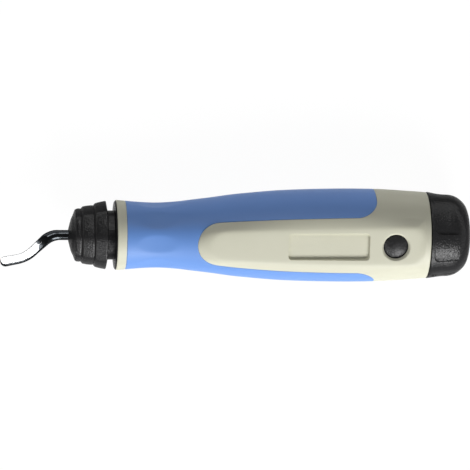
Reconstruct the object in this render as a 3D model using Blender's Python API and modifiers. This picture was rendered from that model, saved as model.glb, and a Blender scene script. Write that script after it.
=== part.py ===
"""Deburring tool with a swan-neck blade, a quick-release nose and a blade magazine.

The tool lies along X on the flat back of its handle: the blade points to -X, the end cap
to +X, and the panel with the push button faces +Z. Lengths are in metres.
"""
import bpy
import bmesh
from math import acos, atan2, cos, hypot, pi, radians, sin, sqrt
from mathutils import Matrix, Vector

MM = 0.001

# Clearances
GAP = 0.3 * MM
OVERRUN = 2.0 * MM
WELD = 0.001 * MM

# Lengths along the tool, from the blade's tip to the end of the cap
BLADE_REACH = 22.15 * MM
SLEEVE_LENGTH = 12.3 * MM
NECK_LENGTH = 2.1 * MM
FLANGE_THICKNESS = 0.5 * MM
RING_LENGTH = 2.75 * MM
GRIP_LENGTH = 79.85 * MM
COLLAR_LENGTH = 16.65 * MM
CAP_LENGTH = 13.6 * MM

# Handle housing
HANDLE_RADIUS = 14.8 * MM
GRIP_WALL = 1.6 * MM
WINDOW_SETBACK = 22.3 * MM
WINDOW_TIP_LENGTH = 6.8 * MM
WINDOW_FRONT_ANGLE = radians(35.0)
WINDOW_REAR_ANGLE = radians(38.7)
ARM_CORNER_RADIUS = 7.2 * MM
PANEL_SETBACK = 4.3 * MM
PANEL_REAR_MARGIN = 3.6 * MM
PANEL_REAR_RAMP = 1.0 * MM
PANEL_CORNER_RADIUS = 4.8 * MM
PANEL_FRONT_HALF_WIDTH = 4.9 * MM
PANEL_REAR_HALF_WIDTH = 6.4 * MM
PANEL_FRONT_HEIGHT = 12.8 * MM
PANEL_REAR_HEIGHT = 13.4 * MM
BACK_HEIGHT = 13.9 * MM
PANEL_LEAST_SHARE = 0.35
CORE_FACETS = 8
GRIP_FACETS = 12
HANDLE_OUTLINE_SHARES = (
    (0.000, 0.753), (0.068, 0.714), (0.128, 0.699), (0.190, 0.721), (0.245, 0.765),
    (0.304, 0.813), (0.367, 0.872), (0.432, 0.916), (0.528, 0.967), (0.689, 1.000),
    (0.839, 0.994), (0.933, 0.957), (1.000, 0.926),
)
TIP_SHARES = (0.022, 0.10, 0.24, 0.45, 0.72, 1.0)
ARM_SHARES = (0.0, 0.35, 0.66, 0.88, 1.0)
CORE_SHARES = (0.16, 0.30, 0.44, 0.60, 0.80)
PANEL_SHARES = (0.08, 0.18, 0.32, 0.48, 0.66, 0.84)

# Label recess in the top panel, left bare
RECESS_LENGTH = 25.5 * MM
RECESS_WIDTH = 8.5 * MM
RECESS_DEPTH = 1.0 * MM
RECESS_CORNER_RADIUS = 1.0 * MM
RECESS_MARGIN = 4.0 * MM

# Finger dimples round the waist
DIMPLE_COUNT = 8
DIMPLE_SETBACK = 9.6 * MM
DIMPLE_DEPTH = 0.4 * MM
DIMPLE_CUT_RADIUS = 27.8 * MM
DIMPLE_CUT_SIDES = 96

# Blade
SHANK_RADIUS = 1.6 * MM
BLADE_LENGTH = 46.0 * MM
BLADE_ROLL = radians(-40.0)
BLADE_STRAIGHT_SETBACK = 18.7 * MM
BEND_RADIUS = 6.0 * MM
BEND_ANGLE = radians(44.5)
SLOPE_LENGTH = 5.4 * MM
RETURN_RADIUS = 10.2 * MM
TIP_ANGLE = radians(11.0)
BLADE_BEVEL_STEPS = 3
BEND_STEPS = 5
GROOVE_SLOPE = 0.25 * MM
FLAT_HEIGHT = 0.25 * MM
FLAT_LENGTH = 11.6 * MM
GRINDING_RADIUS = 7.0 * MM
SHANK_CHAMFER = 0.4 * MM
GROOVE_RADIUS = 1.15 * MM
TIP_DOME_LENGTH = 1.7 * MM
BLADE_NECK_SHARES = ((0.0, 1.0), (0.25, 0.9), (0.7, 0.86), (0.84, 0.88), (0.9, 1.0))
TIP_DOME_SHARES = ((0.0, 1.0), (0.35, 0.96), (0.65, 0.8), (0.87, 0.52), (0.98, 0.2))

# Blade holder with its lock balls and snap ring
HOLDER_RADIUS = 3.5 * MM
HOLDER_SETBACK = 2.85 * MM
HOLDER_COLLAR_RADIUS = 5.0 * MM
HOLDER_COLLAR_THICKNESS = 1.2 * MM
HOLDER_TAIL = 0.8 * MM
BALL_RADIUS = 0.9 * MM
BALL_COUNT = 3
BALL_SEGMENTS = 10
BALL_RINGS = 8
BALL_HOLE_STEPS = 12
BALL_SETBACK = 6.05 * MM
SNAP_RING_OUTER_RADIUS = 4.3 * MM
SNAP_RING_THICKNESS = 0.4 * MM
SNAP_RING_GRIP = 0.5 * MM
SNAP_RING_SETBACK = 3.85 * MM

# Release sleeve and its spring
SLEEVE_RADIUS = 10.85 * MM
SLEEVE_TRAVEL = 1.8 * MM
SLEEVE_LOCK_LENGTH = 2.7 * MM
SLEEVE_OUTLINE_SHARES = (
    (0.000, 0.197), (0.045, 0.394), (0.069, 0.488), (0.118, 0.601), (0.167, 0.742),
    (0.207, 0.770), (0.297, 0.779), (0.354, 0.836), (0.622, 0.873), (0.671, 0.930),
    (0.955, 1.000),
)
SPRING_RADIUS = 4.6 * MM
SPRING_WIRE_RADIUS = 0.3 * MM
SPRING_TURNS = 5.5
SPRING_ROOM = 0.6 * MM
COIL_POINTS = 10
COIL_BEVEL_STEPS = 1
COIL_NEIGHBOUR_SHARE = 0.6

# Front bush, washer and nut
NECK_RADIUS = 7.8 * MM
NECK_HIDDEN_LENGTH = 1.45 * MM
FLANGE_RADIUS = 11.05 * MM
FLANGE_FRONT_RADIUS = 10.8 * MM
SPIGOT_RADIUS = 6.5 * MM
SPIGOT_LENGTH = 14.55 * MM
BUSH_RECESS_DEPTH = 4.0 * MM
WEB_THICKNESS = 2.0 * MM
WASHER_RADIUS = 6.3 * MM
WASHER_THICKNESS = 0.8 * MM
NUT_WIDTH = 11.0 * MM
NUT_THICKNESS = 3.2 * MM
NUT_SIDES = 6
NUT_CHAMBER_RADIUS = 7.0 * MM

# Magazine: tray, end cap, seal ring, screw and spare blades
MAGAZINE_BORE_RADIUS = 9.4 * MM
MAGAZINE_SETBACK = 29.9 * MM
TRAY_WALL = 1.2 * MM
TRAY_COLLAR_LENGTH = 17.8 * MM
SPARE_ROOM = 1.3 * MM
TRAY_RIM_HEIGHT = 2.2 * MM
TRAY_SPIGOT_LENGTH = 2.2 * MM
SPARE_COUNT = 3
SPARE_SIDE_SHIFT = 4.4 * MM
SPARE_STACK_DROP = 3.8 * MM
CAP_LIP = 1.2 * MM
CAP_OUTLINE_SHARES = (
    (0.000, 1.000), (0.110, 0.985), (0.316, 0.957), (0.527, 0.942), (0.665, 0.899),
    (0.804, 0.805), (0.898, 0.695), (0.956, 0.545), (0.990, 0.360), (1.000, 0.250),
)
FLUTE_COUNT = 9
FLUTE_ANGLE = radians(22.0)
FLUTE_DEPTH = 0.65 * MM
FLUTE_LENGTH = 8.2 * MM
FLUTE_SETBACK = 3.0 * MM
FLUTE_HEIGHT = 3.0 * MM
FLUTE_FIRST_ANGLE = radians(-15.6)
FLUTE_CORNER_RADIUS = 1.6 * MM
SEAL_WIDTH = 2.6 * MM
SEAL_THICKNESS = 0.8 * MM
SCREW_RADIUS = 1.2 * MM
SCREW_LENGTH = 14.4 * MM
SCREW_HEAD_RADIUS = 2.7 * MM
SCREW_HEAD_LENGTH = 2.0 * MM
SCREW_HEAD_SETBACK = 5.3 * MM

# Push button and magazine latch
BUTTON_SETBACK = 11.5 * MM
BUTTON_RADIUS = 3.65 * MM
BUTTON_RECESS = 0.2 * MM
BUTTON_EDGE = 0.2 * MM
BUTTON_RIM = 0.75 * MM
BUTTON_DISH_DEPTH = 0.4 * MM
BUTTON_CHAMFER = 0.6 * MM
BUTTON_ROOF = 0.9 * MM
BUTTON_FLANGE_LIP = 0.6 * MM
BUTTON_FLANGE_THICKNESS = 0.6 * MM
BUTTON_STEM_RADIUS = 1.2 * MM
BUTTON_STEM_LENGTH = 1.25 * MM
BUTTON_WELL_FLOOR = 7.5 * MM
LEVER_WIDTH = 3.6 * MM
LEVER_THICKNESS = 0.9 * MM
LEVER_NOSE = 0.7 * MM
LEVER_HUB_RADIUS = 1.2 * MM
HUB_FOOT_START = radians(240.0)
HUB_FOOT_END = radians(300.0)
HUB_TOP_START = radians(45.0)
HUB_TOP_END = radians(190.0)
HUB_TOP_STEPS = 8
LEVER_PIVOT_SETBACK = 5.3 * MM
LEVER_PIVOT_HEIGHT = 10.9 * MM
LEVER_TAIL_LENGTH = 3.6 * MM
LEVER_TAIL_TOP = 10.6 * MM
TOOTH_LENGTH = 1.2 * MM
TOOTH_SLOPE = 0.3 * MM
TOOTH_NOTCH_DEPTH = 1.0 * MM
PIN_RADIUS = 0.5 * MM
PIN_SEAT_LENGTH = 1.6 * MM
LATCH_CHANNEL_HEIGHT = 7.8 * MM
LATCH_SPRING_RADIUS = 0.85 * MM
LATCH_SPRING_WIRE_RADIUS = 0.15 * MM
LATCH_SPRING_TURNS = 1.7
LATCH_SPRING_SEAT_DEPTH = 0.35 * MM

# Facets round the turned pieces and the rounded corners
LARGE_STEPS = 40
SMALL_STEPS = 24
CORNER_STEPS = 4

# Stations along X, worked out from the lengths
OVERALL = (BLADE_REACH + SLEEVE_LENGTH + NECK_LENGTH + FLANGE_THICKNESS + GAP + RING_LENGTH
           + GRIP_LENGTH + COLLAR_LENGTH + CAP_LENGTH)
X_TIP = -OVERALL / 2
X_NOSE = X_TIP + BLADE_REACH
X_SKIRT = X_NOSE + SLEEVE_LENGTH
X_FLANGE = X_SKIRT + NECK_LENGTH
X_RING = X_FLANGE + FLANGE_THICKNESS + GAP
X_GRIP = X_RING + RING_LENGTH
X_WINDOW = X_GRIP + WINDOW_SETBACK
X_PANEL_FRONT = X_WINDOW + PANEL_SETBACK
X_COLLAR = X_GRIP + GRIP_LENGTH
X_CAP = X_COLLAR + COLLAR_LENGTH
X_PANEL_REAR = X_CAP - PANEL_REAR_MARGIN
X_END = X_CAP + CAP_LENGTH
AXIS_HEIGHT = BACK_HEIGHT

# Places along X in the nose
X_HOLDER = X_NOSE + HOLDER_SETBACK
X_SNAP_RING = X_NOSE + SNAP_RING_SETBACK
X_LOCK = X_SNAP_RING + SNAP_RING_THICKNESS + GAP
X_BALLS = X_NOSE + BALL_SETBACK
X_BEND = X_TIP + BLADE_STRAIGHT_SETBACK
X_CHAMBER = X_LOCK + SLEEVE_LOCK_LENGTH
X_NECK = X_SKIRT - NECK_HIDDEN_LENGTH
X_SHANK_END = X_TIP + BLADE_LENGTH
X_HOLDER_COLLAR = X_NECK + BUSH_RECESS_DEPTH
X_SPIGOT_END = X_FLANGE + FLANGE_THICKNESS + SPIGOT_LENGTH
X_WEB = X_SPIGOT_END + GAP
X_WASHER = X_WEB + WEB_THICKNESS + GAP
X_NUT = X_WASHER + WASHER_THICKNESS + GAP
X_HOLDER_END = X_NUT + NUT_THICKNESS + HOLDER_TAIL

# Places along X and heights above the tool's axis in the magazine and its latch
X_MAGAZINE_BORE = X_GRIP + MAGAZINE_SETBACK
X_TRAY = X_MAGAZINE_BORE + GAP
X_TRAY_POCKET = X_TRAY + TRAY_WALL
X_TRAY_COLLAR = X_CAP - TRAY_COLLAR_LENGTH
X_SCREW_HEAD = X_CAP - SCREW_HEAD_SETBACK
X_BUTTON = X_CAP - BUTTON_SETBACK
X_PIVOT = X_CAP - LEVER_PIVOT_SETBACK
X_LEVER_TAIL = X_PIVOT + LEVER_TAIL_LENGTH
X_TOOTH = X_LEVER_TAIL - TOOTH_LENGTH
X_RECESS_END = X_BUTTON - BUTTON_RADIUS - GAP - BUTTON_CHAMFER - RECESS_MARGIN
TRAY_POCKET_LENGTH = X_TRAY_COLLAR - X_TRAY_POCKET
SPARE_LENGTH = TRAY_POCKET_LENGTH - SPARE_ROOM
TRAY_RADIUS = MAGAZINE_BORE_RADIUS - GAP
SEAL_INNER_RADIUS = TRAY_RADIUS + 2 * GAP
SEAL_OUTER_RADIUS = SEAL_INNER_RADIUS + SEAL_WIDTH
CAP_RADIUS = SEAL_OUTER_RADIUS + GAP + CAP_LIP
TOOTH_HEIGHT = TRAY_RADIUS + GAP

# Stations of the housing's skin: the window's tip, the panel and the grip's arms
TIP_STATIONS = [X_WINDOW + share * WINDOW_TIP_LENGTH for share in TIP_SHARES]
X_ARM_CORNER = X_COLLAR - ARM_CORNER_RADIUS
PANEL_STATIONS = [TIP_STATIONS[-1] + share * (X_ARM_CORNER - TIP_STATIONS[-1])
                  for share in PANEL_SHARES]
ARM_STATIONS = [X_ARM_CORNER + share * ARM_CORNER_RADIUS for share in ARM_SHARES]

for leftover in list(bpy.data.objects):
    bpy.data.objects.remove(leftover, do_unlink=True)
tool_parts = bpy.data.collections.new("deburring_tool")
cutters = bpy.data.collections.new("cutters")
bpy.context.scene.collection.children.link(tool_parts)
bpy.context.scene.collection.children.link(cutters)


def material(name, colour, roughness, metallic=0.0):
    """A Principled material; the colour is given as seen on screen, 0 to 255."""
    finish = bpy.data.materials.new(name)
    finish.use_nodes = True
    shader = finish.node_tree.nodes["Principled BSDF"]
    linear = [(value / 255) ** 2.2 for value in colour]
    shader.inputs["Base Color"].default_value = (*linear, 1.0)
    shader.inputs["Roughness"].default_value = roughness
    shader.inputs["Metallic"].default_value = metallic
    return finish


STEEL = material("steel", (150, 152, 156), 0.25, 1.0)
SPRING_STEEL = material("spring_steel", (120, 122, 126), 0.35, 1.0)
BLACK_PLASTIC = material("black_plastic", (40, 40, 40), 0.45)
BLACK_RUBBER = material("black_rubber", (28, 28, 28), 0.8)
IVORY_PLASTIC = material("ivory_plastic", (212, 211, 190), 0.5)
BLUE_RUBBER = material("blue_rubber", (95, 140, 205), 0.55)


def place(name, mesh, finish):
    """Put a mesh into the scene as a piece of the tool, or as a cutter without a finish."""
    piece = bpy.data.objects.new(name, mesh)
    if finish is None:
        piece.hide_render = True
        piece.display_type = "WIRE"
        cutters.objects.link(piece)
    else:
        if not mesh.materials:
            mesh.materials.append(finish)
        tool_parts.objects.link(piece)
    return piece


def turned(name, profile, steps, finish, centre=None):
    """Turn a profile of (station, radius) points into a solid.

    The profile runs along the outer side towards rising stations, and back along any bore.
    It turns about the tool's axis, or about the upright line through centre, an (x, y).
    """
    points = [(radius, 0.0, station) for station, radius in reversed(profile)]
    edges = [(index, index + 1) for index in range(len(points) - 1)]
    if points[0][0] > WELD or points[-1][0] > WELD:
        edges.append((len(points) - 1, 0))
    mesh = bpy.data.meshes.new(name)
    mesh.from_pydata(points, edges, [])
    piece = place(name, mesh, finish)
    if centre is None:
        piece.rotation_euler = (0.0, pi / 2, 0.0)
        piece.location = (0.0, 0.0, AXIS_HEIGHT)
    else:
        piece.location = (centre[0], centre[1], AXIS_HEIGHT)
    screw = piece.modifiers.new("turn", "SCREW")
    screw.axis = "Z"
    screw.angle = 2 * pi
    screw.steps = steps
    screw.render_steps = steps
    screw.use_merge_vertices = True
    screw.merge_threshold = WELD
    screw.use_smooth_shade = True
    return piece


def rod(name, start, end, radius, sides, finish):
    """A straight round or many-sided bar between two points."""
    start, end = Vector(start), Vector(end)
    shape = bmesh.new()
    bmesh.ops.create_cone(shape, cap_ends=True, segments=sides, radius1=radius,
                          radius2=radius, depth=(end - start).length)
    turn = (end - start).to_track_quat("Z", "Y").to_matrix().to_4x4()
    shape.transform(Matrix.Translation((start + end) / 2) @ turn)
    mesh = bpy.data.meshes.new(name)
    shape.to_mesh(mesh)
    shape.free()
    return place(name, mesh, finish)


def block(name, low, high, finish):
    """A box between its lowest and highest corners."""
    shape = bmesh.new()
    bmesh.ops.create_cube(shape, size=1.0)
    size = [top - bottom for bottom, top in zip(low, high)]
    middle = [(top + bottom) / 2 for bottom, top in zip(low, high)]
    shape.transform(Matrix.Translation(middle) @ Matrix.Diagonal((*size, 1.0)))
    mesh = bpy.data.meshes.new(name)
    shape.to_mesh(mesh)
    shape.free()
    return place(name, mesh, finish)


def settled_curve(name, curve, finish):
    """Turn a curve into a mesh with its caps welded on."""
    wire = bpy.data.objects.new(name + "_curve", curve)
    bpy.context.scene.collection.objects.link(wire)
    bpy.context.view_layer.update()
    graph = bpy.context.evaluated_depsgraph_get()
    mesh = bpy.data.meshes.new_from_object(wire.evaluated_get(graph))
    bpy.data.objects.remove(wire, do_unlink=True)
    shape = bmesh.new()
    shape.from_mesh(mesh)
    bmesh.ops.remove_doubles(shape, verts=shape.verts, dist=WELD)
    bmesh.ops.recalc_face_normals(shape, faces=shape.faces)
    shape.to_mesh(mesh)
    shape.free()
    mesh.name = name
    return place(name, mesh, finish)


def slab(name, outline, thickness, finish):
    """A flat outline in the local XY plane, thickened equally above and below it."""
    curve = bpy.data.curves.new(name, "CURVE")
    curve.dimensions = "2D"
    curve.fill_mode = "BOTH"
    curve.extrude = thickness / 2
    edge = curve.splines.new("POLY")
    edge.points.add(len(outline) - 1)
    for point, (along, across) in zip(edge.points, outline):
        point.co = (along, across, 0.0, 1.0)
    edge.use_cyclic_u = True
    return settled_curve(name, curve, finish)


def wire(name, path, radius, shares, bevel_steps, finish):
    """A round bar of varying radius along a path of points."""
    curve = bpy.data.curves.new(name, "CURVE")
    curve.dimensions = "3D"
    curve.bevel_depth = radius
    curve.bevel_resolution = bevel_steps
    curve.use_fill_caps = True
    line = curve.splines.new("POLY")
    line.points.add(len(path) - 1)
    for point, place_on_path, share in zip(line.points, path, shares):
        point.co = (*place_on_path, 1.0)
        point.radius = share
    return settled_curve(name, curve, finish)


def cut(piece, cutter):
    """Take the cutter's shape out of the piece."""
    saw = piece.modifiers.new(cutter.name, "BOOLEAN")
    saw.operation = "DIFFERENCE"
    saw.solver = "EXACT"
    saw.object = cutter


def arc(centre, radius, start, end, steps):
    """Points on an arc from one angle to another, both included."""
    angles = [start + (end - start) * step / steps for step in range(steps + 1)]
    return [(centre[0] + radius * cos(a), centre[1] + radius * sin(a)) for a in angles]


def rounded_outline(low, high, radius):
    """A rectangle between two corners with its corners rounded."""
    outline = []
    corners = ((high[0] - radius, high[1] - radius, 0.0),
               (low[0] + radius, high[1] - radius, pi / 2),
               (low[0] + radius, low[1] + radius, pi),
               (high[0] - radius, low[1] + radius, 3 * pi / 2))
    for across, up, start in corners:
        outline += arc((across, up), radius, start, start + pi / 2, CORNER_STEPS)
    return outline


def smooth_share(shares, place_share):
    """Read a table of shares as one smooth curve through its points."""
    index = 0
    while index < len(shares) - 2 and place_share > shares[index + 1][0]:
        index += 1
    (start, low), (end, high) = shares[index], shares[index + 1]

    def slope(point):
        before, after = max(point - 1, 0), min(point + 1, len(shares) - 1)
        return (shares[after][1] - shares[before][1]) / (shares[after][0] - shares[before][0])

    width = end - start
    t = min(max((place_share - start) / width, 0.0), 1.0)
    rise = (3 * t ** 2 - 2 * t ** 3) * (high - low) + low
    return rise + width * ((t ** 3 - 2 * t ** 2 + t) * slope(index)
                           + (t ** 3 - t ** 2) * slope(index + 1))


def handle_radius(x):
    """The handle's outer radius at a station."""
    return HANDLE_RADIUS * smooth_share(HANDLE_OUTLINE_SHARES, (x - X_RING) / (X_CAP - X_RING))


def window_side_angle(x):
    """Half the angle between a window's straight sides, which open towards the collar."""
    along = min(max((x - X_WINDOW) / (X_COLLAR - X_WINDOW), 0.0), 1.0)
    return WINDOW_FRONT_ANGLE + (WINDOW_REAR_ANGLE - WINDOW_FRONT_ANGLE) * along


def window_half_angle(x):
    """Half the angle that a panel's window in the soft grip takes at a station."""
    t = min(max((x - X_WINDOW) / WINDOW_TIP_LENGTH, 0.0), 1.0)
    angle = window_side_angle(x) * sqrt(1 - (1 - t) ** 2)
    into_corner = min(max(x - (X_COLLAR - ARM_CORNER_RADIUS), 0.0), ARM_CORNER_RADIUS)
    drawn_in = ARM_CORNER_RADIUS - sqrt(ARM_CORNER_RADIUS ** 2 - into_corner ** 2)
    return angle + drawn_in / handle_radius(x)


def panel_edge(x, front_height, rear_height):
    """Height and half width of a panel's flat at a station, both ends rounded."""
    radius = handle_radius(x)
    along = (x - X_PANEL_FRONT) / (X_PANEL_REAR - X_PANEL_FRONT)
    flat_height = front_height + (rear_height - front_height) * along
    half = (PANEL_FRONT_HALF_WIDTH
            + (PANEL_REAR_HALF_WIDTH - PANEL_FRONT_HALF_WIDTH) * min(max(along, 0.0), 1.0))
    least = PANEL_LEAST_SHARE * radius * sin(min(window_half_angle(x), window_side_angle(x)))
    front = min(max((x - X_PANEL_FRONT) / half, 0.0), 1.0)
    width = max(half * sqrt(1 - (1 - front) ** 2), least)
    into_corner = min(max(x - (X_PANEL_REAR - PANEL_CORNER_RADIUS), 0.0), PANEL_CORNER_RADIUS)
    width -= PANEL_CORNER_RADIUS - sqrt(PANEL_CORNER_RADIUS ** 2 - into_corner ** 2)
    rise = min(max((x - X_WINDOW) / PANEL_SETBACK, 0.0), 1.0)
    sink = min(max((x - X_PANEL_REAR) / PANEL_REAR_RAMP, 0.0), 1.0)
    middle = radius + (flat_height - radius) * rise * (1 - sink)
    side_round = sqrt(radius ** 2 - width ** 2)
    side = side_round + (flat_height - side_round) * rise * (1 - sink)
    return width, middle, side


def quarter(x, surface, front_height, rear_height):
    """The points (y, z) from the middle of one panel to the core's side, z upwards."""
    outer = handle_radius(x)
    core = outer - GRIP_WALL - GAP
    opening = window_half_angle(x)
    straight = window_side_angle(x)
    if surface in ("ring", "core"):
        radius = outer if surface == "ring" else core
        limit = opening if 0 < x - X_WINDOW < WINDOW_TIP_LENGTH else straight
        angles = (0.0, PANEL_LEAST_SHARE * limit, limit, limit, limit, limit)
        return [(radius * sin(a), radius * cos(a)) for a in angles]
    if surface == "core_end":
        radius, limit = core, opening
        angles = (0.0, PANEL_LEAST_SHARE * straight, straight,
                  (straight + limit) / 2, limit, limit)
        return [(radius * sin(a), radius * cos(a)) for a in angles]
    panel = min(opening, straight)
    width, middle, side = panel_edge(x, front_height, rear_height)
    foot = outer if surface == "collar" else core
    halfway = (panel + opening) / 2
    return [(0.0, middle), (width, side),
            (outer * sin(panel), outer * cos(panel)),
            (outer * sin(halfway), outer * cos(halfway)),
            (outer * sin(opening), outer * cos(opening)),
            (foot * sin(opening), foot * cos(opening))]


def body_section(x, surface):
    """Half a section of the housing, from the top panel's middle down to the back's."""
    top = quarter(x, surface, PANEL_FRONT_HEIGHT, PANEL_REAR_HEIGHT)
    back = quarter(x, surface, BACK_HEIGHT, BACK_HEIGHT)
    side_radius = hypot(*top[-1])
    start = atan2(*top[-1])
    side = [(side_radius * sin(start + (pi - 2 * start) * step / CORE_FACETS),
             side_radius * cos(start + (pi - 2 * start) * step / CORE_FACETS))
            for step in range(1, CORE_FACETS)]
    return top + side + [(across, -up) for across, up in reversed(back)]


def mirrored_mesh(name, points, faces, finish):
    """A piece from one half of its skin, mirrored over the tool's upright middle plane."""
    mesh = bpy.data.meshes.new(name)
    mesh.from_pydata(points, [], faces)
    shape = bmesh.new()
    shape.from_mesh(mesh)
    bmesh.ops.remove_doubles(shape, verts=shape.verts, dist=WELD)
    shape.to_mesh(mesh)
    shape.free()
    piece = place(name, mesh, finish)
    piece.location = (0.0, 0.0, AXIS_HEIGHT)
    mirror = piece.modifiers.new("mirror", "MIRROR")
    mirror.use_axis = (False, True, False)
    mirror.merge_threshold = WELD
    return piece


def button_roof():
    """Height above the axis of the ceiling over the button's flange."""
    return panel_edge(X_BUTTON, PANEL_FRONT_HEIGHT, PANEL_REAR_HEIGHT)[1] - BUTTON_ROOF


def make_handle_body():
    """The moulded housing: a round front ring, a core under the grip, panels and collar."""
    stations = [(X_RING, "ring"), (X_GRIP - GAP, "ring"), (X_GRIP - GAP, "core")]
    stations += [(X_GRIP + share * WINDOW_SETBACK, "core") for share in CORE_SHARES]
    stations += [(TIP_STATIONS[0], "core")]
    stations += [(x, "panel") for x in TIP_STATIONS + PANEL_STATIONS + ARM_STATIONS]
    stations += [(X_COLLAR + GAP, "panel"), (X_COLLAR + GAP, "collar")]
    rear_corner = X_PANEL_REAR - PANEL_CORNER_RADIUS
    stations += [(rear_corner + share * PANEL_CORNER_RADIUS, "collar") for share in ARM_SHARES]
    stations += [(X_PANEL_REAR + PANEL_REAR_RAMP, "collar"), (X_CAP - GAP, "collar")]
    sections = [body_section(x, surface) for x, surface in stations]
    count = len(sections[0])
    points = [(x, *point) for (x, _), section in zip(stations, sections) for point in section]
    faces = [(row * count + col, (row + 1) * count + col,
              (row + 1) * count + col + 1, row * count + col + 1)
             for row in range(len(stations) - 1) for col in range(count - 1)]
    faces.append(tuple(range(count)))
    faces.append(tuple(reversed(range(len(points) - count, len(points)))))
    body = mirrored_mesh("handle_body", points, faces, IVORY_PLASTIC)

    bores = turned("handle_bores", [
        (X_RING - OVERRUN, 0.0), (X_RING - OVERRUN, SPIGOT_RADIUS + GAP),
        (X_WEB, SPIGOT_RADIUS + GAP), (X_WEB, HOLDER_RADIUS + GAP),
        (X_WEB + WEB_THICKNESS, HOLDER_RADIUS + GAP),
        (X_WEB + WEB_THICKNESS, NUT_CHAMBER_RADIUS),
        (X_MAGAZINE_BORE, NUT_CHAMBER_RADIUS), (X_MAGAZINE_BORE, MAGAZINE_BORE_RADIUS),
        (X_CAP + OVERRUN, MAGAZINE_BORE_RADIUS), (X_CAP + OVERRUN, 0.0)], LARGE_STEPS, None)
    cut(body, bores)

    roof = button_roof()
    hole = BUTTON_RADIUS + GAP
    well = turned("button_well", [
        (BUTTON_WELL_FLOOR, 0.0), (BUTTON_WELL_FLOOR, BUTTON_RADIUS + BUTTON_FLANGE_LIP + GAP),
        (roof, BUTTON_RADIUS + BUTTON_FLANGE_LIP + GAP), (roof, hole),
        (roof + BUTTON_ROOF - BUTTON_CHAMFER, hole),
        (roof + BUTTON_ROOF + OVERRUN, hole + BUTTON_CHAMFER + OVERRUN),
        (roof + BUTTON_ROOF + OVERRUN, 0.0)], LARGE_STEPS, None, (X_BUTTON, 0.0))
    cut(body, well)

    half = LEVER_WIDTH / 2 + GAP
    cut(body, block("lever_pocket", (X_BUTTON, -half, AXIS_HEIGHT + BUTTON_WELL_FLOOR),
                    (X_LEVER_TAIL + GAP, half, AXIS_HEIGHT + roof), None))
    pin_end = half + PIN_SEAT_LENGTH + GAP
    cut(body, rod("pin_seat", (X_PIVOT, -pin_end, AXIS_HEIGHT + LEVER_PIVOT_HEIGHT),
                  (X_PIVOT, pin_end, AXIS_HEIGHT + LEVER_PIVOT_HEIGHT),
                  PIN_RADIUS + GAP, SMALL_STEPS, None))
    spring_x = X_LEVER_TAIL - TOOTH_LENGTH / 2
    seat_radius = LATCH_SPRING_RADIUS + LATCH_SPRING_WIRE_RADIUS + GAP
    cut(body, rod("latch_spring_seat", (spring_x, 0.0, AXIS_HEIGHT + roof - OVERRUN),
                  (spring_x, 0.0, AXIS_HEIGHT + roof + LATCH_SPRING_SEAT_DEPTH),
                  seat_radius, SMALL_STEPS, None))

    x_recess = X_RECESS_END - RECESS_LENGTH
    outline = rounded_outline((x_recess, -RECESS_WIDTH / 2),
                              (X_RECESS_END, RECESS_WIDTH / 2),
                              RECESS_CORNER_RADIUS)
    recess = slab("label_recess", outline, 2 * OVERRUN, None)
    x_middle = x_recess + RECESS_LENGTH / 2
    pad = panel_edge(x_middle, PANEL_FRONT_HEIGHT, PANEL_REAR_HEIGHT)[1]
    floor = AXIS_HEIGHT + pad - RECESS_DEPTH
    recess.location = (0.0, 0.0, floor + OVERRUN)
    cut(body, recess)
    return body


def make_soft_grip():
    """The soft grip: a full sleeve over the waist and two arms beside the panels."""
    ring_stations = [X_GRIP] + [X_GRIP + share * WINDOW_SETBACK for share in CORE_SHARES]
    ring_stations += [X_WINDOW - GAP]
    open_stations = TIP_STATIONS + PANEL_STATIONS + ARM_STATIONS
    stations = ring_stations + [x - GAP * (x < X_ARM_CORNER) for x in open_stations]
    points, count = [], GRIP_FACETS + 1
    for row, x in enumerate(stations):
        outer = handle_radius(x)
        start = 0.0
        if row >= len(ring_stations):
            start = window_half_angle(open_stations[row - len(ring_stations)]) + GAP / outer
        angles = [start + (pi - 2 * start) * step / GRIP_FACETS for step in range(count)]
        for radius in (outer, outer - GRIP_WALL):
            points += [(x, radius * sin(a), radius * cos(a)) for a in angles]
    faces = []
    for row in range(len(stations)):
        outer, inner = 2 * row * count, (2 * row + 1) * count
        step = 2 * count
        if row < len(stations) - 1:
            for col in range(count - 1):
                faces.append((outer + col, outer + step + col,
                              outer + step + col + 1, outer + col + 1))
                faces.append((inner + col + 1, inner + step + col + 1,
                              inner + step + col, inner + col))
            if row >= len(ring_stations) - 1:
                last = count - 1
                faces.append((outer, inner, inner + step, outer + step))
                faces.append((outer + last, outer + step + last,
                              inner + step + last, inner + last))
        if row in (0, len(stations) - 1):
            for col in range(count - 1):
                face = (outer + col, outer + col + 1, inner + col + 1, inner + col)
                faces.append(face if row == 0 else tuple(reversed(face)))
    grip = mirrored_mesh("soft_grip", points, faces, BLUE_RUBBER)

    x_dimple = X_GRIP + DIMPLE_SETBACK
    for index in range(DIMPLE_COUNT):
        angle = 2 * pi * index / DIMPLE_COUNT
        out = handle_radius(x_dimple) - DIMPLE_DEPTH + DIMPLE_CUT_RADIUS
        across, up = out * sin(angle), AXIS_HEIGHT + out * cos(angle)
        reach = HANDLE_RADIUS
        side = (reach * cos(angle), -reach * sin(angle))
        cutter = rod("dimple_cutter_%d" % (index + 1),
                     (x_dimple, across - side[0], up - side[1]),
                     (x_dimple, across + side[0], up + side[1]),
                     DIMPLE_CUT_RADIUS, DIMPLE_CUT_SIDES, None)
        cut(grip, cutter)
    return grip


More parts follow.
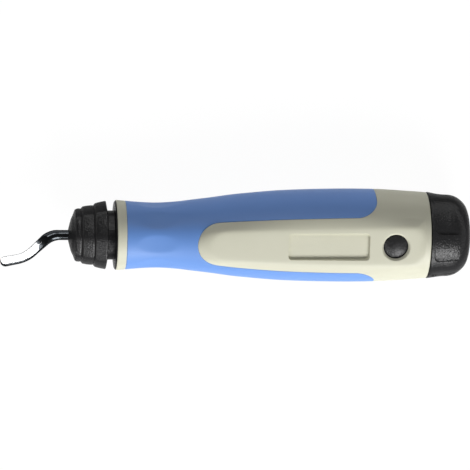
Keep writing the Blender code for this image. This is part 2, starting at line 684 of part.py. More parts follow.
def make_front_bush():
    """The black bush: the neck under the sleeve, the thin flange and the hidden spigot."""
    x_flange_rear = X_FLANGE + FLANGE_THICKNESS
    recess = HOLDER_COLLAR_RADIUS + GAP
    x_recess_floor = X_HOLDER_COLLAR + HOLDER_COLLAR_THICKNESS + GAP
    return turned("front_bush", [
        (X_NECK, NECK_RADIUS), (X_FLANGE, NECK_RADIUS),
        (X_FLANGE + FLANGE_THICKNESS / 2, FLANGE_FRONT_RADIUS), (x_flange_rear, FLANGE_RADIUS),
        (x_flange_rear, SPIGOT_RADIUS), (X_SPIGOT_END, SPIGOT_RADIUS),
        (X_SPIGOT_END, HOLDER_RADIUS + GAP), (x_recess_floor, HOLDER_RADIUS + GAP),
        (x_recess_floor, recess), (X_NECK, recess)], LARGE_STEPS, BLACK_PLASTIC)


def make_blade_holder():
    """The steel tube that the shank turns in, with a collar, a ring groove and ball holes."""
    bore = SHANK_RADIUS + GAP
    groove = HOLDER_RADIUS - SNAP_RING_GRIP
    x_collar_rear = X_HOLDER_COLLAR + HOLDER_COLLAR_THICKNESS
    holder = turned("blade_holder", [
        (X_SHANK_END + GAP, 0.0), (X_SHANK_END + GAP, bore), (X_HOLDER, bore),
        (X_HOLDER, HOLDER_RADIUS), (X_SNAP_RING - GAP, HOLDER_RADIUS),
        (X_SNAP_RING - GAP, groove), (X_SNAP_RING + SNAP_RING_THICKNESS + GAP, groove),
        (X_SNAP_RING + SNAP_RING_THICKNESS + GAP, HOLDER_RADIUS),
        (X_HOLDER_COLLAR, HOLDER_RADIUS), (X_HOLDER_COLLAR, HOLDER_COLLAR_RADIUS),
        (x_collar_rear, HOLDER_COLLAR_RADIUS), (x_collar_rear, HOLDER_RADIUS),
        (X_HOLDER_END, HOLDER_RADIUS), (X_HOLDER_END, 0.0)], SMALL_STEPS, STEEL)
    for index in range(BALL_COUNT):
        angle = pi / 2 + 2 * pi * index / BALL_COUNT
        reach = HOLDER_RADIUS + OVERRUN
        drill = rod("ball_hole_%d" % (index + 1),
                    (X_BALLS, bore / 2 * cos(angle), AXIS_HEIGHT + bore / 2 * sin(angle)),
                    (X_BALLS, reach * cos(angle), AXIS_HEIGHT + reach * sin(angle)),
                    BALL_RADIUS + GAP, BALL_HOLE_STEPS, None)
        cut(holder, drill)
    return holder


def make_lock_balls():
    """Balls in the holder's holes, resting in the shank's groove."""
    reach = GROOVE_RADIUS + GAP + BALL_RADIUS
    for index in range(BALL_COUNT):
        angle = pi / 2 + 2 * pi * index / BALL_COUNT
        shape = bmesh.new()
        bmesh.ops.create_uvsphere(shape, u_segments=BALL_SEGMENTS, v_segments=BALL_RINGS,
                                  radius=BALL_RADIUS)
        mesh = bpy.data.meshes.new("lock_ball_%d" % (index + 1))
        shape.to_mesh(mesh)
        shape.free()
        ball = place(mesh.name, mesh, STEEL)
        ball.location = (X_BALLS, reach * cos(angle), AXIS_HEIGHT + reach * sin(angle))


def make_snap_ring():
    """The ring in the holder's groove that stops the sleeve at the front."""
    inner = HOLDER_RADIUS - SNAP_RING_GRIP + GAP
    x_rear = X_SNAP_RING + SNAP_RING_THICKNESS
    return turned("snap_ring", [
        (X_SNAP_RING, SNAP_RING_OUTER_RADIUS), (x_rear, SNAP_RING_OUTER_RADIUS),
        (x_rear, inner), (X_SNAP_RING, inner)], SMALL_STEPS, SPRING_STEEL)


def make_release_sleeve():
    """The stepped nose sleeve; its tight ring holds the balls in until it is pulled back."""
    outer = [(X_NOSE + along * SLEEVE_LENGTH, out * SLEEVE_RADIUS)
             for along, out in SLEEVE_OUTLINE_SHARES]
    skirt = NECK_RADIUS + GAP
    lock = HOLDER_RADIUS + GAP
    relief = SNAP_RING_OUTER_RADIUS + GAP
    chamber = SPRING_RADIUS + SPRING_WIRE_RADIUS + SPRING_ROOM
    shift = SLEEVE_TRAVEL + GAP
    return turned("release_sleeve", outer + [
        (X_SKIRT, skirt), (X_NECK - shift, skirt), (X_NECK - shift, chamber),
        (X_CHAMBER, chamber), (X_CHAMBER, lock), (X_LOCK, lock), (X_LOCK, relief),
        (X_SNAP_RING - shift, relief), (X_SNAP_RING - shift, lock),
        (X_HOLDER - shift, lock), (X_HOLDER - shift, SHANK_RADIUS + GAP),
        (X_NOSE, SHANK_RADIUS + GAP)], LARGE_STEPS, BLACK_PLASTIC)


def coil(name, start, length, radius, turns, wire_radius, along_x):
    """A coil spring of one unbroken wire, rising from its start along X or upwards."""
    steps = round(turns * COIL_POINTS)
    path = []
    for step in range(steps + 1):
        angle = 2 * pi * turns * step / steps
        around = (radius * cos(angle), radius * sin(angle))
        rise = length * step / steps
        offset = (rise, *around) if along_x else (*around, rise)
        path.append(Vector(start) + Vector(offset))
    near = round(COIL_POINTS * COIL_NEIGHBOUR_SHARE)
    gaps = [(path[a] - path[b]).length for a in range(len(path))
            for b in range(a + near, len(path))]
    print("%s: least gap to itself %.2f mm" % (name, (min(gaps) - 2 * wire_radius) / MM))
    return wire(name, path, wire_radius, [1.0] * len(path), COIL_BEVEL_STEPS,
                SPRING_STEEL)


def make_sleeve_spring():
    """The spring between the sleeve's tight ring and the holder's collar."""
    margin = GAP + SPRING_WIRE_RADIUS
    start = X_CHAMBER + margin
    length = X_HOLDER_COLLAR - margin - start
    return coil("sleeve_spring", (start, 0.0, AXIS_HEIGHT), length, SPRING_RADIUS,
                SPRING_TURNS, SPRING_WIRE_RADIUS, True)


def make_holder_washer():
    """The washer between the housing's web and the nut."""
    return turned("holder_washer", [
        (X_WASHER, WASHER_RADIUS), (X_WASHER + WASHER_THICKNESS, WASHER_RADIUS),
        (X_WASHER + WASHER_THICKNESS, HOLDER_RADIUS + GAP),
        (X_WASHER, HOLDER_RADIUS + GAP)], SMALL_STEPS, STEEL)


def make_holder_nut():
    """The six-sided nut on the holder's tail."""
    nut = rod("holder_nut", (X_NUT, 0.0, AXIS_HEIGHT),
              (X_NUT + NUT_THICKNESS, 0.0, AXIS_HEIGHT),
              NUT_WIDTH / 2 / cos(pi / NUT_SIDES), NUT_SIDES, STEEL)
    cut(nut, rod("nut_bore", (X_NUT - OVERRUN, 0.0, AXIS_HEIGHT),
                 (X_NUT + NUT_THICKNESS + OVERRUN, 0.0, AXIS_HEIGHT),
                 HOLDER_RADIUS + GAP, SMALL_STEPS, None))
    return nut


def swan_neck(x_shank_end):
    """A blade's centre line from its inner end to its tip, with a share of the radius."""
    groove_half = BALL_RADIUS + GAP
    groove_share = GROOVE_RADIUS / SHANK_RADIUS
    chamfer_share = (SHANK_RADIUS - SHANK_CHAMFER) / SHANK_RADIUS
    path = [(x_shank_end, 0.0), (x_shank_end - SHANK_CHAMFER, 0.0),
            (X_BALLS + groove_half + GROOVE_SLOPE, 0.0), (X_BALLS + groove_half, 0.0),
            (X_BALLS - groove_half, 0.0), (X_BALLS - groove_half - GROOVE_SLOPE, 0.0),
            (X_BEND, 0.0)]
    shares = [chamfer_share, 1.0, 1.0, groove_share, groove_share, 1.0, 1.0]
    bend = [(X_BEND - BEND_RADIUS * sin(a), -BEND_RADIUS * (1 - cos(a)))
            for a in (BEND_ANGLE * step / BEND_STEPS for step in range(1, BEND_STEPS + 1))]
    x, y = bend[-1]
    x -= SLOPE_LENGTH * cos(BEND_ANGLE)
    y -= SLOPE_LENGTH * sin(BEND_ANGLE)
    bend.append((x, y))
    for step in range(1, BEND_STEPS + 1):
        angle = BEND_ANGLE + (TIP_ANGLE - BEND_ANGLE) * step / BEND_STEPS
        bend.append((x - RETURN_RADIUS * (sin(BEND_ANGLE) - sin(angle)),
                     y - RETURN_RADIUS * (cos(angle) - cos(BEND_ANGLE))))
    x, y = bend[-1]
    tip_length = (x - X_TIP) / cos(TIP_ANGLE)
    dome = [tip_length - TIP_DOME_LENGTH * (1 - share) for share, _ in TIP_DOME_SHARES]
    bend += [(x - run * cos(TIP_ANGLE), y - run * sin(TIP_ANGLE)) for run in dome]
    runs, total = [], 0.0
    for before, after in zip([(X_BEND, 0.0)] + bend, bend):
        total += hypot(after[0] - before[0], after[1] - before[1])
        runs.append(total)
    for run in runs:
        shares.append(smooth_share(BLADE_NECK_SHARES, run / total))
    for index, (_, dome_share) in enumerate(TIP_DOME_SHARES):
        shares[index - len(TIP_DOME_SHARES)] *= dome_share
    return [(x, y, 0.0) for x, y in path + bend], shares


def ground_blade(name, length):
    """A blade of a given length, ground flat on its upper face."""
    path, shares = swan_neck(X_TIP + length)
    blade = wire(name, path, SHANK_RADIUS, shares, BLADE_BEVEL_STEPS, STEEL)
    x_flat = X_TIP + FLAT_LENGTH
    rise = 2 * SHANK_RADIUS
    swing = acos(1 - rise / GRINDING_RADIUS)
    outline = [(X_TIP - OVERRUN, FLAT_HEIGHT + rise), (X_TIP - OVERRUN, FLAT_HEIGHT)]
    outline += arc((x_flat, FLAT_HEIGHT + GRINDING_RADIUS), GRINDING_RADIUS,
                   -pi / 2, -pi / 2 + swing, BEND_STEPS)
    stone = slab(name + "_grinding_stone", outline, 2 * BLADE_REACH, None)
    stone.rotation_euler = (pi / 2, 0.0, 0.0)
    cut(blade, stone)
    bpy.context.view_layer.update()
    graph = bpy.context.evaluated_depsgraph_get()
    blade.data = bpy.data.meshes.new_from_object(blade.evaluated_get(graph))
    blade.modifiers.clear()
    blade.location = (0.0, 0.0, AXIS_HEIGHT)
    return blade


def make_blades():
    """The fitted blade, turned in its holder, and its spares in the tray's pocket."""
    fitted = ground_blade("blade", BLADE_LENGTH)
    fitted.rotation_euler = (BLADE_ROLL, 0.0, 0.0)
    step_up = 2 * SHANK_RADIUS + GAP
    for index in range(SPARE_COUNT):
        spare = ground_blade("spare_blade_%d" % (index + 1), SPARE_LENGTH)
        spare.location = (X_TRAY_COLLAR - GAP - X_TIP - SPARE_LENGTH, SPARE_SIDE_SHIFT,
                          AXIS_HEIGHT - SPARE_STACK_DROP + index * step_up)


def make_blade_tray():
    """The magazine's tray: an open trough with a solid collar at the cap's end."""
    x_end = X_CAP + TRAY_SPIGOT_LENGTH
    pocket = TRAY_RADIUS - TRAY_WALL
    head = SCREW_HEAD_RADIUS + GAP
    shaft = SCREW_RADIUS + GAP
    tray = turned("blade_tray", [
        (X_TRAY, 0.0), (X_TRAY, TRAY_RADIUS), (x_end, TRAY_RADIUS), (x_end, shaft),
        (X_SCREW_HEAD + GAP, shaft), (X_SCREW_HEAD + GAP, head), (X_TRAY_COLLAR, head),
        (X_TRAY_COLLAR, pocket), (X_TRAY_POCKET, pocket), (X_TRAY_POCKET, 0.0)],
        LARGE_STEPS, BLACK_PLASTIC)
    side = TRAY_RADIUS + OVERRUN
    cut(tray, block("tray_mouth", (X_TRAY - OVERRUN, -side, AXIS_HEIGHT + TRAY_RIM_HEIGHT),
                    (X_TRAY_COLLAR, side, AXIS_HEIGHT + side), None))
    half = LEVER_WIDTH / 2 + GAP
    cut(tray, block("lever_channel",
                    (X_TRAY_COLLAR - OVERRUN, -half, AXIS_HEIGHT + LATCH_CHANNEL_HEIGHT),
                    (X_PIVOT, half, AXIS_HEIGHT + side), None))
    notch = TRAY_RADIUS - TOOTH_NOTCH_DEPTH
    cut(tray, block("tooth_notch", (X_TOOTH - TOOTH_SLOPE - GAP, -half, AXIS_HEIGHT + notch),
                    (X_LEVER_TAIL + GAP, half, AXIS_HEIGHT + side), None))
    return tray


def make_end_cap():
    """The fluted end cap, hollowed for the seal ring, the tray's end and the screw."""
    outer = [(X_CAP + along * CAP_LENGTH, out * CAP_RADIUS)
             for along, out in CAP_OUTLINE_SHARES]
    x_seat = X_CAP + SEAL_THICKNESS + GAP
    x_floor = X_CAP + TRAY_SPIGOT_LENGTH + GAP
    x_hole = X_SCREW_HEAD + SCREW_LENGTH + GAP
    bore = TRAY_RADIUS + GAP
    shaft = SCREW_RADIUS + GAP
    cap = turned("end_cap", [
        (x_hole, 0.0), (x_hole, shaft), (x_floor, shaft), (x_floor, bore), (x_seat, bore),
        (x_seat, SEAL_OUTER_RADIUS + GAP), (X_CAP, SEAL_OUTER_RADIUS + GAP)]
        + outer + [(X_END, 0.0)], LARGE_STEPS, BLACK_PLASTIC)
    middle_share = (FLUTE_SETBACK + FLUTE_LENGTH / 2) / CAP_LENGTH
    radius = CAP_RADIUS * smooth_share(CAP_OUTLINE_SHARES, middle_share)
    for index in range(FLUTE_COUNT):
        deep = FLUTE_FIRST_ANGLE + 2 * pi * index / FLUTE_COUNT
        shallow = deep - FLUTE_ANGLE
        fade = Vector((0.0, -radius * sin(shallow), radius * cos(shallow)))
        step = Vector((0.0, -sin(deep), cos(deep))) * (radius - FLUTE_DEPTH)
        width = (fade - step).length
        across = (fade - step).normalized()
        along = Vector((1.0, 0.0, 0.0))
        up = along.cross(across)
        corner = FLUTE_CORNER_RADIUS
        outline = [(FLUTE_LENGTH, 0.0), (FLUTE_LENGTH, width + corner), (0.0, width + corner)]
        outline += arc((corner, corner), corner, pi, 3 * pi / 2, CORNER_STEPS)
        cutter = slab("flute_cutter_%d" % (index + 1), outline, FLUTE_HEIGHT, None)
        turn = Matrix((along, across, up)).transposed().to_4x4()
        at = step + up * FLUTE_HEIGHT / 2 + Vector((X_CAP + FLUTE_SETBACK, 0.0, AXIS_HEIGHT))
        cutter.matrix_world = Matrix.Translation(at) @ turn
        cut(cap, cutter)
    return cap


def make_seal_ring():
    """The rubber ring in the cap's front recess."""
    return turned("seal_ring", [
        (X_CAP, SEAL_OUTER_RADIUS), (X_CAP + SEAL_THICKNESS, SEAL_OUTER_RADIUS),
        (X_CAP + SEAL_THICKNESS, SEAL_INNER_RADIUS), (X_CAP, SEAL_INNER_RADIUS)],
        LARGE_STEPS, BLACK_RUBBER)


def make_cap_screw():
    """The screw that fixes the cap to the tray, its head reached through the trough."""
    x_head = X_SCREW_HEAD - SCREW_HEAD_LENGTH
    return turned("cap_screw", [
        (x_head, 0.0), (x_head, SCREW_HEAD_RADIUS), (X_SCREW_HEAD, SCREW_HEAD_RADIUS),
        (X_SCREW_HEAD, SCREW_RADIUS), (X_SCREW_HEAD + SCREW_LENGTH, SCREW_RADIUS),
        (X_SCREW_HEAD + SCREW_LENGTH, 0.0)], SMALL_STEPS, STEEL)


def stem_height():
    """Height above the axis of the foot of the button's stem."""
    return button_roof() - GAP - BUTTON_FLANGE_THICKNESS - BUTTON_STEM_LENGTH


def make_button():
    """The push button: a dished top, a retaining flange under the roof and a stem."""
    flange_top = button_roof() - GAP
    flange_foot = flange_top - BUTTON_FLANGE_THICKNESS
    top = button_roof() + BUTTON_ROOF - BUTTON_RECESS
    rim = BUTTON_RADIUS - BUTTON_RIM
    flange = BUTTON_RADIUS + BUTTON_FLANGE_LIP
    return turned("button", [
        (stem_height(), 0.0), (stem_height(), BUTTON_STEM_RADIUS),
        (flange_foot, BUTTON_STEM_RADIUS), (flange_foot, flange), (flange_top, flange),
        (flange_top, BUTTON_RADIUS), (top - BUTTON_EDGE, BUTTON_RADIUS),
        (top, BUTTON_RADIUS - BUTTON_EDGE), (top, rim),
        (top - BUTTON_DISH_DEPTH / 2, rim - BUTTON_EDGE), (top - BUTTON_DISH_DEPTH, 0.0)],
        LARGE_STEPS, BLACK_PLASTIC, (X_BUTTON, 0.0))


def make_latch_lever():
    """The rocking lever: a long arm under the button's stem, a short tail with the tooth."""
    arm_top = stem_height() - GAP - LEVER_PIVOT_HEIGHT
    tail_top = LEVER_TAIL_TOP - LEVER_PIVOT_HEIGHT
    tooth_foot = TOOTH_HEIGHT - LEVER_PIVOT_HEIGHT
    nose = X_BUTTON - LEVER_NOSE - X_PIVOT
    tooth = LEVER_TAIL_LENGTH - TOOTH_LENGTH
    outline = [(nose, arm_top - LEVER_THICKNESS)]
    outline += arc((0.0, 0.0), LEVER_HUB_RADIUS, HUB_FOOT_START, HUB_FOOT_END, CORNER_STEPS)
    outline += [(tooth - TOOTH_SLOPE, tail_top - LEVER_THICKNESS), (tooth, tooth_foot),
                (LEVER_TAIL_LENGTH, tooth_foot), (LEVER_TAIL_LENGTH, tail_top)]
    outline += arc((0.0, 0.0), LEVER_HUB_RADIUS, HUB_TOP_START, HUB_TOP_END, HUB_TOP_STEPS)
    outline += [(X_BUTTON + BUTTON_STEM_RADIUS + GAP - X_PIVOT, arm_top), (nose, arm_top)]
    lever = slab("latch_lever", outline, LEVER_WIDTH, STEEL)
    lever.rotation_euler = (pi / 2, 0.0, 0.0)
    lever.location = (X_PIVOT, 0.0, AXIS_HEIGHT + LEVER_PIVOT_HEIGHT)
    cut(lever, rod("lever_bore", (X_PIVOT, -LEVER_WIDTH, AXIS_HEIGHT + LEVER_PIVOT_HEIGHT),
                   (X_PIVOT, LEVER_WIDTH, AXIS_HEIGHT + LEVER_PIVOT_HEIGHT),
                   PIN_RADIUS + GAP, SMALL_STEPS, None))
    return lever


def make_latch_pin():
    """The pin that the lever rocks on, seated in the housing on both sides."""
    end = LEVER_WIDTH / 2 + GAP + PIN_SEAT_LENGTH
    return rod("latch_pin", (X_PIVOT, -end, AXIS_HEIGHT + LEVER_PIVOT_HEIGHT),
               (X_PIVOT, end, AXIS_HEIGHT + LEVER_PIVOT_HEIGHT), PIN_RADIUS, SMALL_STEPS,
               STEEL)


def make_latch_spring():
    """The small spring over the lever's tail that presses the tooth down."""
    margin = GAP + LATCH_SPRING_WIRE_RADIUS
    start = LEVER_TAIL_TOP + margin
    length = button_roof() + LATCH_SPRING_SEAT_DEPTH - margin - start
    x_spring = X_LEVER_TAIL - TOOTH_LENGTH / 2
    return coil("latch_spring", (x_spring, 0.0, AXIS_HEIGHT + start), length,
                LATCH_SPRING_RADIUS, LATCH_SPRING_TURNS, LATCH_SPRING_WIRE_RADIUS, False)


make_handle_body()
make_soft_grip()
make_front_bush()
make_blade_holder()
make_lock_balls()
make_snap_ring()
make_release_sleeve()
make_sleeve_spring()
make_holder_washer()
make_holder_nut()
make_blades()
make_blade_tray()
make_end_cap()
make_seal_ring()
make_cap_screw()
make_button()
make_latch_lever()
make_latch_pin()
make_latch_spring()
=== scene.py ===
"""Looks of a hand deburring tool: swan-neck blade, quick-release nose, two-shot handle, magazine.

The tool lies along X on the flat back of its handle, with the blade towards -X and the panel
with the push button up. Lengths are in metres and every piece stays where the frame holds it.
"""

import bmesh
import bpy
import numpy as np
from mathutils import Matrix, Vector


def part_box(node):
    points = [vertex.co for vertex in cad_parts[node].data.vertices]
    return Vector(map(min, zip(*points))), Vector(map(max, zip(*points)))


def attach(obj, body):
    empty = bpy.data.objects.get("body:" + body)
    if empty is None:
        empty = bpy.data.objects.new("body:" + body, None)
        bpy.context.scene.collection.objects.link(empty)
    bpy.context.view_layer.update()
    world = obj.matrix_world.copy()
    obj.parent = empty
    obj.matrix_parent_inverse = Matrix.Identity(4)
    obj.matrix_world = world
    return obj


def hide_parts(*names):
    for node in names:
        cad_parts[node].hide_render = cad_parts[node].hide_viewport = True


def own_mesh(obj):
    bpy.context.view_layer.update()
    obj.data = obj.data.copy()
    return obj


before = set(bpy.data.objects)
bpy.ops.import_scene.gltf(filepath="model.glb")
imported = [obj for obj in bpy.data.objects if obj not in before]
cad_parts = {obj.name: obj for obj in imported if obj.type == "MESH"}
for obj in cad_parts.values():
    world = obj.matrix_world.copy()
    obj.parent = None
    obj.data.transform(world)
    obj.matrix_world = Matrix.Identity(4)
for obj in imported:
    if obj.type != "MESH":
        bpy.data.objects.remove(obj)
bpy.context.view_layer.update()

# Handle housing
# The off-white moulded body that carries everything: a front ring, a core under the soft grip,
# a raised panel with a label recess and a button seat, a plain back panel and a rear collar.
# It is one injection moulding in grained ABS with the bores for the nose and the magazine.
MM = 0.001
GAP = 0.3 * MM
MERGE_DISTANCE = 0.002 * MM
SLIVER_LENGTH = 0.0005 * MM
SHARP_ANGLE = np.radians(38.0)
GRIP_SEAM = 0.03 * MM
GRIP_WALL = 1.6 * MM
HANDLE_RADIUS = 14.8 * MM
WINDOW_SETBACK = 22.3 * MM
WINDOW_TIP_LENGTH = 6.8 * MM
WINDOW_FRONT_ANGLE = np.radians(35.0)
WINDOW_REAR_ANGLE = np.radians(38.7)
ARM_CORNER_RADIUS = 6.6 * MM
ARM_END_INSET = 0.6 * MM
PANEL_SETBACK = 4.3 * MM
PANEL_REAR_MARGIN = 3.6 * MM
PANEL_REAR_RAMP = 1.6 * MM
PANEL_CORNER_RADIUS = 4.8 * MM
PANEL_HALF_WIDTHS = (4.9 * MM, 6.4 * MM)
PANEL_HEIGHTS = (12.8 * MM, 13.4 * MM)
BACK_HEIGHTS = (13.9 * MM, 13.9 * MM)
PANEL_EDGE_ROUNDING = 0.7 * MM
WINDOW_EDGE_ROUNDING = 0.2 * MM
END_ROUNDING = 0.3 * MM
SEAM_BREAK = 0.1 * MM
SPIGOT_BORE_RADIUS = 6.8 * MM
HOLDER_BORE_RADIUS = 3.8 * MM
NUT_CHAMBER_RADIUS = 7.0 * MM
MAGAZINE_BORE_RADIUS = 9.4 * MM
BORE_LEAD_IN = 0.4 * MM
WEB_THICKNESS = 2.0 * MM
WEB_SETBACK = 14.55 * MM
MAGAZINE_BORE_SETBACK = 32.65 * MM
PANEL_STEPS, EDGE_STEPS, SIDE_STEPS, TIP_STEPS = 41, 5, 33, 26
HANDLE_OUTLINE_SHARES = np.array((
    (0.000, 0.753), (0.068, 0.714), (0.128, 0.699), (0.190, 0.721), (0.245, 0.765),
    (0.304, 0.813), (0.367, 0.872), (0.432, 0.916), (0.528, 0.967), (0.689, 1.000),
    (0.839, 0.994), (0.933, 0.957), (1.000, 0.926),
))
AXIS_Z = (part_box("front_bush")[0].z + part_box("front_bush")[1].z) / 2
X_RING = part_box("handle_body")[0].x
X_HOUSING_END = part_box("handle_body")[1].x
X_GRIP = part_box("soft_grip")[0].x
X_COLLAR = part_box("soft_grip")[1].x - ARM_END_INSET
X_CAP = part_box("end_cap")[0].x
X_WINDOW = X_GRIP + WINDOW_SETBACK
X_PANEL_FRONT = X_WINDOW + PANEL_SETBACK
X_PANEL_REAR = X_CAP - PANEL_REAR_MARGIN
ARM_END_ANGLE = WINDOW_REAR_ANGLE + ARM_CORNER_RADIUS / HANDLE_RADIUS


def smooth_table(table, along):
    """A cubic through a table's points, its slopes taken from each point's neighbours."""
    at, out = table.T
    before = np.clip(np.arange(len(at)) - 1, 0, None)
    after = np.clip(np.arange(len(at)) + 1, None, len(at) - 1)
    slope = (out[after] - out[before]) / (at[after] - at[before])
    low = np.clip(np.searchsorted(at, along, side="right") - 1, 0, len(at) - 2)
    width = at[low + 1] - at[low]
    t = np.clip((along - at[low]) / width, 0.0, 1.0)
    level = out[low] + (3 * t ** 2 - 2 * t ** 3) * (out[low + 1] - out[low])
    bend = (t ** 3 - 2 * t ** 2 + t) * slope[low] + (t ** 3 - t ** 2) * slope[low + 1]
    return level + width * bend


def handle_radius(x):
    """Outer radius of the handle: its outline's table over the length from ring to cap."""
    return HANDLE_RADIUS * smooth_table(HANDLE_OUTLINE_SHARES, (x - X_RING) / (X_CAP - X_RING))


def side_angle(x):
    """Half the angle between a window's straight sides, which open towards the collar."""
    along = np.clip((x - X_WINDOW) / (X_COLLAR - X_WINDOW), 0.0, 1.0)
    return WINDOW_FRONT_ANGLE + (WINDOW_REAR_ANGLE - WINDOW_FRONT_ANGLE) * along


def window_angle(x):
    """Half angle of a panel's window: an elliptic tip, the sides, flared at the collar."""
    t = np.clip((x - X_WINDOW) / WINDOW_TIP_LENGTH, 0.0, 1.0)
    into = np.clip(x - (X_COLLAR - ARM_CORNER_RADIUS), 0.0, ARM_CORNER_RADIUS)
    flare = ARM_CORNER_RADIUS - np.sqrt(ARM_CORNER_RADIUS ** 2 - into ** 2)
    return side_angle(x) * np.sqrt(1 - (1 - t) ** 2) + flare / handle_radius(x)


def softly_positive(value, ease):
    """Value where it is positive and nought where it isn't, eased over a short stretch."""
    return (value + np.sqrt(value ** 2 + ease ** 2)) / 2


def panel_radius(x, angle, heights):
    """Radius of the skin over a panel at stations x and angles from the panel's middle.

    Inside the flat's outline it is the plane, height / cos(angle). Outside the window it is
    the round handle. Between them the share of the plane is the distance in from the
    window's edge over the whole width of the bevel there.
    """
    round_radius = handle_radius(x)
    along = np.clip((x - X_PANEL_FRONT) / (X_PANEL_REAR - X_PANEL_FRONT), 0.0, 1.0)
    height = heights[0] + (heights[1] - heights[0]) * along
    half_width = PANEL_HALF_WIDTHS[0] + (PANEL_HALF_WIDTHS[1] - PANEL_HALF_WIDTHS[0]) * along
    flat_angle = np.arctan(half_width / height)
    x_round = X_WINDOW + WINDOW_TIP_LENGTH
    tip = np.clip(x_round - x, 0.0, None) / WINDOW_TIP_LENGTH
    side = side_angle(x)
    inside = side * round_radius * (1 - np.hypot(tip, angle / side))
    to_rear = X_PANEL_REAR + PANEL_REAR_RAMP - x
    inside = np.clip(np.minimum(inside, to_rear), 0.0, None)
    across, flat_across = angle * round_radius, flat_angle * round_radius
    front = np.clip(X_PANEL_FRONT + half_width - x, 0.0, None) / half_width
    outside_front = (np.hypot(front, across / flat_across) - 1) * flat_across
    rear = np.clip(x - (X_PANEL_REAR - PANEL_CORNER_RADIUS), 0.0, None)
    beside = np.clip(across - (flat_across - PANEL_CORNER_RADIUS), 0.0, None)
    outside_rear = np.hypot(rear, beside) - PANEL_CORNER_RADIUS
    outside = np.where(x < (X_WINDOW + X_CAP) / 2, outside_front, outside_rear)
    outside = softly_positive(outside, PANEL_EDGE_ROUNDING)
    share = inside / (inside + outside + WINDOW_EDGE_ROUNDING / 10)
    plane_angle = angle - softly_positive(angle - flat_angle, PANEL_EDGE_ROUNDING / round_radius)
    plane = height / np.cos(plane_angle)
    return round_radius + share * (plane - round_radius)


def cells(index):
    """Faces between the neighbours of a grid of point numbers."""
    return np.stack([index[:-1, :-1], index[:-1, 1:], index[1:, 1:], index[1:, :-1]],
                    axis=-1).reshape(-1, 4)


def skin(name, grid, closed_rows=True):
    """A mesh over a grid of points (rows, columns, 3): every four neighbours make a face.

    Columns close on themselves, and rows too on a piece with a bore. Points that coincide,
    as at poles, are merged, and faces are turned outwards.
    """
    rows, columns = grid.shape[:2]
    index = np.arange(rows * columns).reshape(rows, columns)
    index = np.hstack([index, index[:, :1]])
    if closed_rows:
        index = np.vstack([index, index[:1]])
    return faced(name, grid.reshape(-1, 3), cells(index))


def faced(name, points, faces):
    """A mesh piece from points and four-sided faces, with doubles merged and normals out."""
    mesh = bpy.data.meshes.new(name)
    mesh.vertices.add(len(points))
    mesh.vertices.foreach_set("co", points.astype(np.float32).ravel())
    mesh.loops.add(faces.size)
    mesh.loops.foreach_set("vertex_index", faces.astype(np.int32).ravel())
    mesh.polygons.add(len(faces))
    mesh.polygons.foreach_set("loop_start", np.arange(0, faces.size, 4, dtype=np.int32))
    mesh.update(calc_edges=True)
    piece = bpy.data.objects.new(name, mesh)
    bpy.context.scene.collection.objects.link(piece)
    settle(piece)
    return piece


def settle(piece):
    """Merge doubles, turn the faces outwards and shade smooth except at sharp edges."""
    shape = bmesh.new()
    shape.from_mesh(piece.data)
    bmesh.ops.remove_doubles(shape, verts=shape.verts, dist=MERGE_DISTANCE)
    bmesh.ops.dissolve_degenerate(shape, edges=shape.edges, dist=SLIVER_LENGTH)
    bmesh.ops.recalc_face_normals(shape, faces=shape.faces)
    for face in shape.faces:
        face.smooth = True
    shape.to_mesh(piece.data)
    shape.free()
    piece.data.set_sharp_from_angle(angle=SHARP_ANGLE)


def cut_out(piece, cutter):
    """Take the cutter's shape out of a piece and delete the cutter."""
    saw = piece.modifiers.new("cut", "BOOLEAN")
    saw.object = cutter
    saw.operation = "DIFFERENCE"
    saw.solver = "EXACT"
    applied(piece)
    bpy.data.objects.remove(cutter, do_unlink=True)


def applied(piece):
    """Make a piece's modifiers part of its mesh."""
    bpy.context.view_layer.update()
    graph = bpy.context.evaluated_depsgraph_get()
    piece.data = bpy.data.meshes.new_from_object(piece.evaluated_get(graph))
    piece.modifiers.clear()
    settle(piece)


def place_all(piece, finish, body, slot, *nodes):
    """Give a piece its finish and its body, and hide the nodes it stands for. Slot is not used.
    """
    piece.data.materials.clear()
    piece.data.materials.append(finish)
    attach(piece, body)
    if nodes:
        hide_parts(*nodes)


def stretch(start, end, steps):
    """Evenly spaced stations from start to end."""
    return start + (end - start) * np.linspace(0.0, 1.0, steps)


